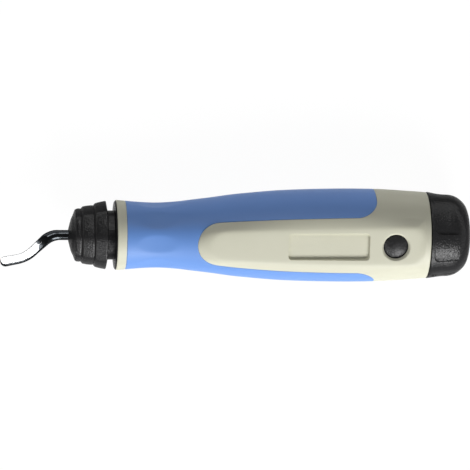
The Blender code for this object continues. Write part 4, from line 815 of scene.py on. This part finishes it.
def swan_neck_blade(name):
    """A blade's skin: rings square to its line, cut off flat above the ground face.

    In a ring a point is line + radius * cos(turn) sideways and radius * sin(turn) up, and
    up is held to the height of the face, which rises on the wheel's arc at its end.
    """
    beyond_return = np.linspace(RETURN_RUN, RETURN_RUN + 20 * MM, 2001)
    tip_run = np.interp(-(X_TIP + TIP_SETBACK), -blade_line(beyond_return)[0], beyond_return)
    x_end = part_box("blade")[1].x
    shank = x_end - x_bend
    groove = x_end - x_groove
    runs = np.concatenate([
        -shank + np.array((0.0, 0.0, SHANK_CHAMFER / 2, SHANK_CHAMFER, 1.3 * SHANK_CHAMFER)),
        -shank + stretch(2 * SHANK_CHAMFER, groove - GROOVE_HALF_LENGTH - GROOVE_SLOPE, 10),
        -shank + groove + np.array((-1.0, 1.0)) * GROOVE_HALF_LENGTH,
        -shank + stretch(groove + GROOVE_HALF_LENGTH + GROOVE_SLOPE, shank, 10),
        stretch(0.1 * MM, tip_run - TIP_DOME_LENGTH, 150),
        tip_run - TIP_DOME_LENGTH * (1 - np.sin(np.linspace(0.0, np.pi / 2, DOME_STEPS)[1:]))])
    bent = np.clip(runs, 0.0, None)
    x, y = blade_line(bent)
    x = x - np.clip(runs, None, 0.0)
    radius = SHANK_RADIUS * np.interp(bent / tip_run, *NECK_SHARES.T)
    dome = np.clip((runs - (tip_run - TIP_DOME_LENGTH)) / TIP_DOME_LENGTH, 0.0, 1.0)
    radius = radius * np.sqrt(np.clip(1 - dome ** 2, 0.0, 1.0))
    radius[:3] = np.array((0.0, SHANK_RADIUS - SHANK_CHAMFER, SHANK_RADIUS - SHANK_CHAMFER / 2))
    in_groove = np.abs(runs + shank - groove) <= GROOVE_HALF_LENGTH + 0.01 * MM
    radius[in_groove] = GROOVE_RADIUS
    face = face_height(x)
    edge = np.arcsin(np.clip((face - FACE_EDGE_BREAK) / np.maximum(radius, 1e-9), 0.0, 1.0))
    edge = np.minimum(edge, FACE_WIDEST_ANGLE)[:, None]
    below = np.linspace(0.0, 1.0, ROD_STEPS)[None, :]
    around = np.pi - edge + (np.pi + 2 * edge) * below
    over = np.linspace(0.0, 1.0, FACE_STEPS)[None, 1:-1]
    across = np.cos(edge) * (1 - 2 * over)
    radius, face = radius[:, None], face[:, None]
    sideways = np.hstack([np.cos(around), across]) * radius
    up = np.hstack([np.sin(around), np.sqrt(np.clip(1 - across ** 2, 0.0, 1.0))]) * radius
    up = np.minimum(up, face)
    angle = blade_heading(bent)[:, None]
    grid = np.stack([x[:, None] - sideways * np.sin(angle), y[:, None] + sideways * np.cos(angle),
                     AXIS_Z + up], axis=-1)
    return skin(name, grid, closed_rows=False)


def steel(name, colour, roughness, lines, bump):
    """Steel with fine lines left by drawing, turning or grinding, as a stretched noise.

    The noise shades the colour down to 0.82 of it and spreads the roughness by 0.3 of it.
    """
    material, tree, shader = shader_material(name)
    shader.inputs["Metallic"].default_value = 1.0
    place = tree.nodes.new("ShaderNodeTexCoord")
    stretched = tree.nodes.new("ShaderNodeMapping")
    stretched.inputs["Scale"].default_value = lines
    noise = tree.nodes.new("ShaderNodeTexNoise")
    noise.inputs["Scale"].default_value = 1.0
    noise.inputs["Detail"].default_value = 4.0
    tree.links.new(place.outputs["Object"], stretched.inputs["Vector"])
    tree.links.new(stretched.outputs["Vector"], noise.inputs["Vector"])
    shade = [0.82 * level for level in colour[:3]] + [1.0]
    worn_unevenly(tree, shader, noise.outputs["Fac"], noise.outputs["Fac"], shade, colour,
                  (roughness * 0.7, roughness * 1.3), bump)
    return material


dark_steel = steel("dark_steel", seen_colour(68, 71, 74), 0.24, (300.0, 2500.0, 2500.0),
                       0.001 * MM)
dark_steel_shader = dark_steel.node_tree.nodes["Principled BSDF"]
# Painted shade: the dark edge tint dims the rod's reflections at its rims.
dark_steel_shader.inputs["Specular Tint"].default_value = (0.1, 0.1, 0.1, 1.0)
ground_steel = steel("ground_steel", seen_colour(214, 215, 216), 0.34, (4200.0, 500.0, 500.0),
                     0.0006 * MM)


def mesh_points(piece):
    """The places of a piece's corners, one row each."""
    points = np.zeros(len(piece.data.vertices) * 3)
    piece.data.vertices.foreach_get("co", points)
    return points.reshape(-1, 3)


def lay_ground_face(blade):
    """Give the bright finish to the faces whose corners all lie on the wheel's surface."""
    blade.data.materials.append(ground_steel)
    points = mesh_points(blade)
    ground = np.abs(points[:, 2] - AXIS_Z - face_height(points[:, 0])) < 0.01 * MM
    corners = np.zeros(len(blade.data.loops), dtype=np.int32)
    blade.data.loops.foreach_get("vertex_index", corners)
    starts = np.zeros(len(blade.data.polygons), dtype=np.int32)
    blade.data.polygons.foreach_get("loop_start", starts)
    all_ground = np.minimum.reduceat(ground[corners].astype(np.int32), starts)
    blade.data.polygons.foreach_set("material_index", all_ground)


def fit_blade(name, node, body, roll):
    """Build a blade and roll it about the tool's axis; a spare goes to its node's box."""
    blade = swan_neck_blade(name)
    place_all(blade, dark_steel, body, "polished_steel", node)
    lay_ground_face(blade)
    axis = Vector((0.0, 0.0, AXIS_Z))
    turn = Matrix.Translation(axis) @ Matrix.Rotation(roll, 4, "X") @ Matrix.Translation(-axis)
    blade.data.transform(turn)
    if node != "blade":
        high = Vector(mesh_points(blade).max(axis=0))
        blade.data.transform(Matrix.Translation(Vector(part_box(node)[1]) - high))


fit_blade("blade_fitted", "blade", "blade", BLADE_ROLL)
for number in (1, 2, 3):
    fit_blade("blade_stored_%d" % number, "spare_blade_%d" % number, "magazine", 0.0)

# Blade holder, lock balls, snap ring, washer and nut
# The steel tube that the shank turns in, its three balls, the ring that stops the sleeve,
# and the washer and nut that clamp it behind the housing's web. All are turned or pressed.
SNAP_BORE_RADIUS = 3.3 * MM
BROKEN_EDGE_ANGLE = np.radians(40.0)
turned_steel = steel("turned_steel", seen_colour(170, 172, 175), 0.26, (3200.0, 300.0, 300.0),
                     0.0015 * MM)
drawn_wire = steel("drawn_wire", seen_colour(118, 120, 124), 0.3, (700.0, 700.0, 700.0),
                   0.001 * MM)


def refined(name, node, bevel, body, slot, finish):
    """A copy of a node's solid with its doubles merged and its edges broken by a bevel."""
    piece = bpy.data.objects.new(name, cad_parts[node].data.copy())
    bpy.context.scene.collection.objects.link(piece)
    settle(piece)
    edges = piece.modifiers.new("broken_edges", "BEVEL")
    edges.width = bevel
    edges.segments = 2
    edges.limit_method = "ANGLE"
    edges.angle_limit = BROKEN_EDGE_ANGLE
    edges.use_clamp_overlap = True
    applied(piece)
    place_all(piece, finish, body, slot, node)


refined("holder", "blade_holder", 0.08 * MM, "handle", "turned_steel", turned_steel)
refined("nut", "holder_nut", 0.25 * MM, "handle", "turned_steel", turned_steel)


def ring(name, node, inner, ease, body, slot, finish):
    """A flat ring in the box of its node, with its four corners eased."""
    low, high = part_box(node)
    outer = (high.y - low.y) / 2
    piece = turned(name, eased(((low.x, inner, ease), (low.x, outer, ease),
                                (high.x, outer, ease), (high.x, inner, ease))))
    place_all(piece, finish, body, slot, node)


ring("washer", "holder_washer", HOLDER_BORE_RADIUS, 0.12 * MM, "handle", "turned_steel",
     turned_steel)
ring("stop_ring", "snap_ring", SNAP_BORE_RADIUS, 0.12 * MM, "handle", "spring_steel",
     drawn_wire)


def ball(name, node):
    """A ball in its node's box: radius * sin(latitude) along, radius * cos(latitude) round."""
    low, high = (np.array(corner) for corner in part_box(node))
    centre, radius = (low + high) / 2, (high - low).max() / 2
    latitude = np.linspace(-np.pi / 2, np.pi / 2, 25)[:, None]
    turn = np.linspace(0.0, 2 * np.pi, 48, endpoint=False)[None, :]
    grid = centre + radius * np.stack([np.cos(latitude) * np.cos(turn),
                                       np.cos(latitude) * np.sin(turn),
                                       np.sin(latitude) + 0 * turn], axis=-1)
    place_all(skin(name, grid, closed_rows=False), ground_steel, "handle", "polished_steel",
              node)


for number in (1, 2, 3):
    ball("ball_%d" % number, "lock_ball_%d" % number)

# Springs
# The sleeve's return spring round the holder and the small spring over the latch, both wound
# from drawn wire. The first shortens as the sleeve is pulled back, the second as the lever
# rocks up under it.
SLEEVE_SPRING_RADIUS = 4.6 * MM
SLEEVE_SPRING_WIRE = 0.3 * MM
SLEEVE_SPRING_TURNS = 5.5
LATCH_SPRING_RADIUS = 0.85 * MM
LATCH_SPRING_WIRE = 0.15 * MM
LATCH_SPRING_TURNS = 1.7
LATCH_SPRING_INSET = 0.6 * MM


def coil(name, start, length, radius, turns, wire, along_x):
    """A wire wound to a helix: rings of the wire's section, square to the helix's heading."""
    steps = int(turns * 40)
    turn = np.linspace(0.0, 2 * np.pi * turns, steps + 1)
    rise = length * turn / turn[-1]
    line = np.stack([rise, radius * np.cos(turn), radius * np.sin(turn)], axis=-1)
    pitch = length / turn[-1]
    heading = np.stack([np.full_like(turn, pitch), -radius * np.sin(turn),
                        radius * np.cos(turn)], axis=-1)
    heading /= np.linalg.norm(heading, axis=1, keepdims=True)
    outward = np.stack([0 * turn, np.cos(turn), np.sin(turn)], axis=-1)
    upward = np.cross(heading, outward)
    spin = np.linspace(0.0, 2 * np.pi, 20, endpoint=False)[None, :, None]
    section = wire * (np.cos(spin) * outward[:, None] + np.sin(spin) * upward[:, None])
    grid = line[:, None] + section
    grid = np.concatenate([line[:1, None] + 0 * grid[:1], grid, line[-1:, None] + 0 * grid[-1:]])
    if not along_x:
        grid = grid[..., (1, 2, 0)]
    return skin(name, grid + np.array(start), closed_rows=False)


spring_low, spring_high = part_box("sleeve_spring")
spring_start = spring_low.x + SLEEVE_SPRING_WIRE
spring_length = spring_high.x - SLEEVE_SPRING_WIRE - spring_start
sleeve_coil = coil("sleeve_coil", (spring_start, 0.0, AXIS_Z), spring_length,
                   SLEEVE_SPRING_RADIUS, SLEEVE_SPRING_TURNS, SLEEVE_SPRING_WIRE, True)
place_all(sleeve_coil, drawn_wire, "handle", "spring_steel", "sleeve_spring")
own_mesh(sleeve_coil)

latch_low, latch_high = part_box("latch_spring")
latch_start = latch_low.z + LATCH_SPRING_WIRE
latch_length = latch_high.z - LATCH_SPRING_WIRE - latch_start
latch_x = lever_high.x - LATCH_SPRING_INSET
latch_coil = coil("latch_coil", (latch_x, 0.0, latch_start), latch_length,
                  LATCH_SPRING_RADIUS, LATCH_SPRING_TURNS, LATCH_SPRING_WIRE, False)
place_all(latch_coil, drawn_wire, "handle", "spring_steel", "latch_spring")
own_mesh(latch_coil)

# Latch lever and its pin
# A stamped steel rocker: the button's stem presses its long arm, and the tooth on its short
# tail rises out of the magazine's notch. It turns on a plain pin across the pocket.
refined("rocker", "latch_lever", 0.08 * MM, "latch", "turned_steel", turned_steel)
refined("rocker_pin", "latch_pin", 0.08 * MM, "handle", "turned_steel", turned_steel)

# Push button
# The black moulded button that frees the magazine: a domed top with an eased edge, a straight
# side, and below the panel a flange that keeps it in and a stem that presses the lever.
BUTTON_RECESS = 0.2 * MM
BUTTON_EDGE = 0.3 * MM
BUTTON_DOME_RADIUS = 8.5 * MM
BUTTON_FLANGE_THICKNESS = 0.6 * MM
STEM_RADIUS = 1.2 * MM
stem_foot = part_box("button")[0].z - AXIS_Z
dome_centre = PANEL_AT_BUTTON - BUTTON_RECESS - BUTTON_DOME_RADIUS
flange_top = ROOF_HEIGHT - GAP
flange_foot = flange_top - BUTTON_FLANGE_THICKNESS
crown_radius = (BUTTON_RADIUS - BUTTON_EDGE) * np.linspace(1.0, 0.0, 18)
crown_height = dome_centre + np.sqrt(BUTTON_DOME_RADIUS ** 2 - crown_radius ** 2)
crown = np.stack([crown_radius, crown_height], axis=-1)
button_side = eased((
    (0.0, stem_foot, 0.0), (STEM_RADIUS, stem_foot, 0.2 * MM),
    (STEM_RADIUS, flange_foot, 0.15 * MM),
    (BUTTON_RADIUS + BUTTON_LIP, flange_foot, 0.1 * MM),
    (BUTTON_RADIUS + BUTTON_LIP, flange_top, 0.1 * MM), (BUTTON_RADIUS, flange_top, 0.05 * MM),
    (BUTTON_RADIUS, crown_height[0] - 0.1 * MM, 0.2 * MM), (*crown[0], 0.0)), closed=False)
push_button = upright_turned("push_button", np.concatenate([button_side[:-1], crown]), X_BUTTON,
                             steps=120)
place_all(push_button, black_plastic, "button", "black_plastic", "button")

# Magazine tray
# The black moulded trough that holds the spare blades and slides in the handle's bore. Its
# solid collar takes the latch's tooth and the screw that fixes the end cap.
refined("tray", "blade_tray", 0.15 * MM, "magazine", "black_plastic", black_plastic)

# End cap
# The black fluted cap, moulded hollow at the front for the seal ring and the tray. Nine
# saw-tooth flutes give a grip for pulling: each falls gently and ends in a steep wall.
CAP_LENGTH = 13.6 * MM
CAP_RADIUS = 13.8 * MM
CAP_OUTLINE_SHARES = np.array((
    (0.000, 1.000), (0.110, 0.985), (0.316, 0.957), (0.527, 0.942), (0.665, 0.899),
    (0.804, 0.805), (0.898, 0.695), (0.956, 0.545), (0.990, 0.360), (1.000, 0.250),
))
FLUTE_COUNT = 9
FLUTE_ANGLE = np.radians(22.0)
FLUTE_DEPTH = 0.4 * MM
FLUTE_LENGTH = 8.5 * MM
FLUTE_FADE = 1.6 * MM
FLUTE_SETBACK = 0.9 * MM
FLUTE_FIRST_ANGLE = np.radians(-17.0)
FLUTE_CORNER_RADIUS = 2.1 * MM
FLUTE_EASE = 0.08 * MM
SEAL_SEAT_RADIUS = 12.6 * MM
SEAL_SEAT_DEPTH = 1.1 * MM
TRAY_SEAT_RADIUS = 9.4 * MM
TRAY_SEAT_DEPTH = 2.5 * MM
SCREW_HOLE_RADIUS = 1.5 * MM
CAP_DISC_RADIUS = 2.0 * MM
flute_middle = CAP_RADIUS * smooth_table(
    CAP_OUTLINE_SHARES, np.array((FLUTE_SETBACK + FLUTE_LENGTH / 2) / CAP_LENGTH))
period = 2 * np.pi / FLUTE_COUNT


def fluted(x, radius, turn):
    """The cap's skin with its flutes, each deepest at its steep wall and rising to the round.

    The depth is FLUTE_DEPTH * (1 - t) at t flute angles from the wall, inside an outline whose
    front corner at the wall is round, and fades out towards the cap's dome.
    """
    away = (FLUTE_FIRST_ANGLE - turn) % period
    t = away / FLUTE_ANGLE
    from_front = x - (X_CAP + FLUTE_SETBACK)
    from_wall = away * flute_middle
    u = np.clip(FLUTE_CORNER_RADIUS - from_front, 0.0, None)
    v = np.clip(FLUTE_CORNER_RADIUS - from_wall, 0.0, None)
    inside = np.clip((FLUTE_CORNER_RADIUS - np.hypot(u, v)) / FLUTE_EASE / 3, 0.0, 1.0)
    inside = inside * np.clip((FLUTE_LENGTH - from_front) / FLUTE_FADE, 0.0, 1.0)
    return radius - inside * FLUTE_DEPTH * softly_positive(1 - t, 0.05)


# The stations crowd together at the flutes' front corners and on the dome.
cap_shares = np.concatenate([
    np.linspace(0.0, 0.055, 4)[1:], np.linspace(0.062, 0.24, 40), np.linspace(0.25, 0.8, 64),
    1 - 0.2 * np.cos(np.linspace(0, np.pi / 2, 24)[1:])])
cap_outer = np.stack([X_CAP + cap_shares * CAP_LENGTH,
                      CAP_RADIUS * smooth_table(CAP_OUTLINE_SHARES, cap_shares)], axis=-1)
cap_rim = ((X_CAP, CAP_RADIUS - 0.15 * MM), (X_CAP + 0.04 * MM, CAP_RADIUS - 0.05 * MM))
x_seal = X_CAP + SEAL_SEAT_DEPTH
x_floor = X_CAP + TRAY_SEAT_DEPTH
x_screw_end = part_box("cap_screw")[1].x + GAP
cap_inside = (
    (x_screw_end, 0.0), (x_screw_end, SCREW_HOLE_RADIUS), (x_floor, SCREW_HOLE_RADIUS),
    (x_floor, TRAY_SEAT_RADIUS), (x_seal, TRAY_SEAT_RADIUS), (x_seal, SEAL_SEAT_RADIUS),
    (X_CAP, SEAL_SEAT_RADIUS))
cap_disc = ((X_CAP + CAP_LENGTH, CAP_DISC_RADIUS), (X_CAP + CAP_LENGTH, 0.0))
cap_profile = np.concatenate([cap_inside, cap_rim, cap_outer, cap_disc])
flute_turns = np.concatenate([[0.0, 0.0012], FLUTE_ANGLE * np.linspace(0.012, 1.45, 46),
                              np.linspace(FLUTE_ANGLE * 1.5, period - 0.01, 6)])
turns = np.sort(np.concatenate([FLUTE_FIRST_ANGLE - flute_turns + period * k
                                for k in range(FLUTE_COUNT)]))
cap_radii = cap_profile[:, 1:] + 0 * turns[None, :]
outside = np.arange(len(cap_profile))[:, None] >= len(cap_inside)
cap_radii = np.where(outside, fluted(cap_profile[:, :1], cap_radii, turns[None, :]), cap_radii)
cap = skin("cap", ring_points(cap_profile[:, :1], 0 * cap_radii - turns[None, :], cap_radii),
           closed_rows=False)
place_all(cap, black_plastic, "magazine", "black_plastic", "end_cap")

# Seal ring and cap screw
# A rubber ring in the cap's front keeps dirt out of the magazine, and a steel screw with a
# cross slot holds the cap to the tray.
SEAL_BORE_RADIUS = 9.7 * MM
black_rubber = moulded("black_rubber", seen_colour(30, 30, 30), seen_colour(25, 25, 25), 0.72,
                       2400.0, 0.01 * MM, 0.1)
ring("seal", "seal_ring", SEAL_BORE_RADIUS, 0.3 * MM, "magazine", "black_rubber",
     black_rubber)

SCREW_RADIUS = 1.2 * MM
SCREW_HEAD_RADIUS = 2.7 * MM
SCREW_HEAD_LENGTH = 2.0 * MM
THREAD_PITCH = 0.5 * MM
THREAD_DEPTH = 0.12 * MM
SLOT_HALF_WIDTH = 0.35 * MM
SLOT_HALF_LENGTH = 1.7 * MM
SLOT_DEPTH = 0.9 * MM
x_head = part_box("cap_screw")[0].x
x_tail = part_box("cap_screw")[1].x
thread_x = stretch(x_head + SCREW_HEAD_LENGTH + 1 * MM, x_tail - 1 * MM, 176)
thread_r = SCREW_RADIUS - THREAD_DEPTH * (1 + np.cos(2 * np.pi * thread_x / THREAD_PITCH)) / 2
screw_profile = np.concatenate([
    eased(((x_head, 0.0, 0.0), (x_head, SCREW_HEAD_RADIUS, 0.35 * MM),
           (x_head + SCREW_HEAD_LENGTH, SCREW_HEAD_RADIUS, 0.2 * MM),
           (x_head + SCREW_HEAD_LENGTH, SCREW_RADIUS, 0.1 * MM)), closed=False),
    np.stack([thread_x, thread_r], axis=-1),
    [(x_tail - 0.5 * MM, SCREW_RADIUS - THREAD_DEPTH), (x_tail, 0.5 * SCREW_RADIUS),
     (x_tail, 0.0)]])
screw = turned("screw", screw_profile, steps=48, closed_rows=False)
for slot_y, slot_z in ((SLOT_HALF_WIDTH, SLOT_HALF_LENGTH), (SLOT_HALF_LENGTH, SLOT_HALF_WIDTH)):
    slot_low = np.array((x_head - MM, -slot_y, AXIS_Z - slot_z))
    slot_high = np.array((x_head + SLOT_DEPTH, slot_y, AXIS_Z + slot_z))
    cut_out(screw, faced("screw_slot", slot_low + box_share * (slot_high - slot_low), box_faces))
place_all(screw, turned_steel, "magazine", "turned_steel", "cap_screw")

# Stage, lamps and camera
# A plain white floor, a broad soft key lamp on the near side with a weaker wing towards the
# blade, a small weak card on the far side, a faint surrounding light, and a long lens from
# above. The floor glows for the camera, in mirrors and through glass, to be white there.
FLOOR_HALF = 3.0
FLOOR_GLOW = 1.04
FLOOR_GLOW_SHARE = 0.93
SURROUNDING_LIGHT = 0.09
LAMP_DISTANCE = 0.9
floor_mesh = bpy.data.meshes.new("floor")
floor_mesh.from_pydata([(-FLOOR_HALF, -FLOOR_HALF, 0.0), (FLOOR_HALF, -FLOOR_HALF, 0.0),
                        (FLOOR_HALF, FLOOR_HALF, 0.0), (-FLOOR_HALF, FLOOR_HALF, 0.0)],
                       [], [(0, 1, 2, 3)])
floor = bpy.data.objects.new("floor", floor_mesh)
bpy.context.scene.collection.objects.link(floor)
floor_paint, floor_tree, floor_shader = shader_material("floor_paint")
floor_shader.inputs["Base Color"].default_value = (0.8, 0.8, 0.8, 1.0)
floor_shader.inputs["Roughness"].default_value = 0.9
paths = floor_tree.nodes.new("ShaderNodeLightPath")
seen = floor_tree.nodes.new("ShaderNodeMath")
seen.operation = "MAXIMUM"
through = floor_tree.nodes.new("ShaderNodeMath")
through.operation = "MAXIMUM"
part = floor_tree.nodes.new("ShaderNodeMath")
part.operation = "MULTIPLY"
part.inputs[1].default_value = FLOOR_GLOW_SHARE
glow = floor_tree.nodes.new("ShaderNodeEmission")
glow.inputs["Color"].default_value = (1.0, 1.0, 1.0, 1.0)
glow.inputs["Strength"].default_value = FLOOR_GLOW
mixed = floor_tree.nodes.new("ShaderNodeMixShader")
floor_tree.links.new(paths.outputs["Is Camera Ray"], seen.inputs[0])
floor_tree.links.new(paths.outputs["Is Glossy Ray"], seen.inputs[1])
floor_tree.links.new(seen.outputs[0], through.inputs[0])
floor_tree.links.new(paths.outputs["Is Transmission Ray"], through.inputs[1])
floor_tree.links.new(through.outputs[0], part.inputs[0])
floor_tree.links.new(part.outputs[0], mixed.inputs["Fac"])
floor_tree.links.new(floor_shader.outputs["BSDF"], mixed.inputs[1])
floor_tree.links.new(glow.outputs["Emission"], mixed.inputs[2])
floor_tree.links.new(mixed.outputs["Shader"],
                     floor_tree.nodes["Material Output"].inputs["Surface"])
floor.data.materials.append(floor_paint)

world = bpy.data.worlds.new("studio")
bpy.context.scene.world = world
world.use_nodes = True
background = world.node_tree.nodes["Background"]
background.inputs["Color"].default_value = (1.0, 1.0, 1.0, 1.0)
background.inputs["Strength"].default_value = SURROUNDING_LIGHT


def lamp(name, angle, width, depth, power, sideways=0.0):
    """A soft rectangular lamp, tilted by angle from overhead towards the near side.

    It hangs at LAMP_DISTANCE and shines at the tool's middle; sideways moves it along X.
    """
    light = bpy.data.lights.new(name, "AREA")
    light.shape = "RECTANGLE"
    light.size = width
    light.size_y = depth
    light.energy = power
    stand = bpy.data.objects.new(name, light)
    direction = Vector((sideways, -np.sin(angle), np.cos(angle))).normalized()
    stand.location = Vector((0.0, 0.0, AXIS_Z)) + direction * LAMP_DISTANCE
    stand.rotation_euler = direction.to_track_quat("Z", "Y").to_euler()
    bpy.context.scene.collection.objects.link(stand)


lamp("key", np.radians(50.0), 0.5, 0.34, 8.0, sideways=0.36)
lamp("key_wing", np.radians(42.0), 0.5, 0.34, 2.0, sideways=-0.7)
lamp("card", np.radians(-60.0), 0.26, 0.18, 1.35)

VIEW_TURN = np.radians(6.0)
VIEW_TILT = np.radians(17.0)
VIEW_DISTANCE = 1.3
VIEW_SPAN = 0.1494
VIEW_MIDDLE = 75.2 * MM
SENSOR_WIDTH = 36.0
toward_camera = Vector((-np.sin(VIEW_TURN), np.cos(VIEW_TURN) * np.sin(VIEW_TILT),
                        np.cos(VIEW_TURN) * np.cos(VIEW_TILT)))
image_up = Vector((0.0, np.cos(VIEW_TILT), -np.sin(VIEW_TILT)))
image_right = image_up.cross(toward_camera).normalized()
image_up = toward_camera.cross(image_right)
aim = Vector((X_TIP + VIEW_MIDDLE, 0.0, AXIS_Z))
camera = bpy.data.objects.new("camera", bpy.data.cameras.new("camera"))
camera.data.sensor_width = SENSOR_WIDTH
camera.data.lens = SENSOR_WIDTH * VIEW_DISTANCE / VIEW_SPAN
camera.data.clip_end = 10.0
camera_axes = Matrix(np.array((image_right, image_up, toward_camera)).T.tolist()).to_4x4()
camera.matrix_world = Matrix.Translation(aim + toward_camera * VIEW_DISTANCE) @ camera_axes
bpy.context.scene.collection.objects.link(camera)
bpy.context.scene.camera = camera
bpy.context.scene.view_settings.view_transform = "Standard"
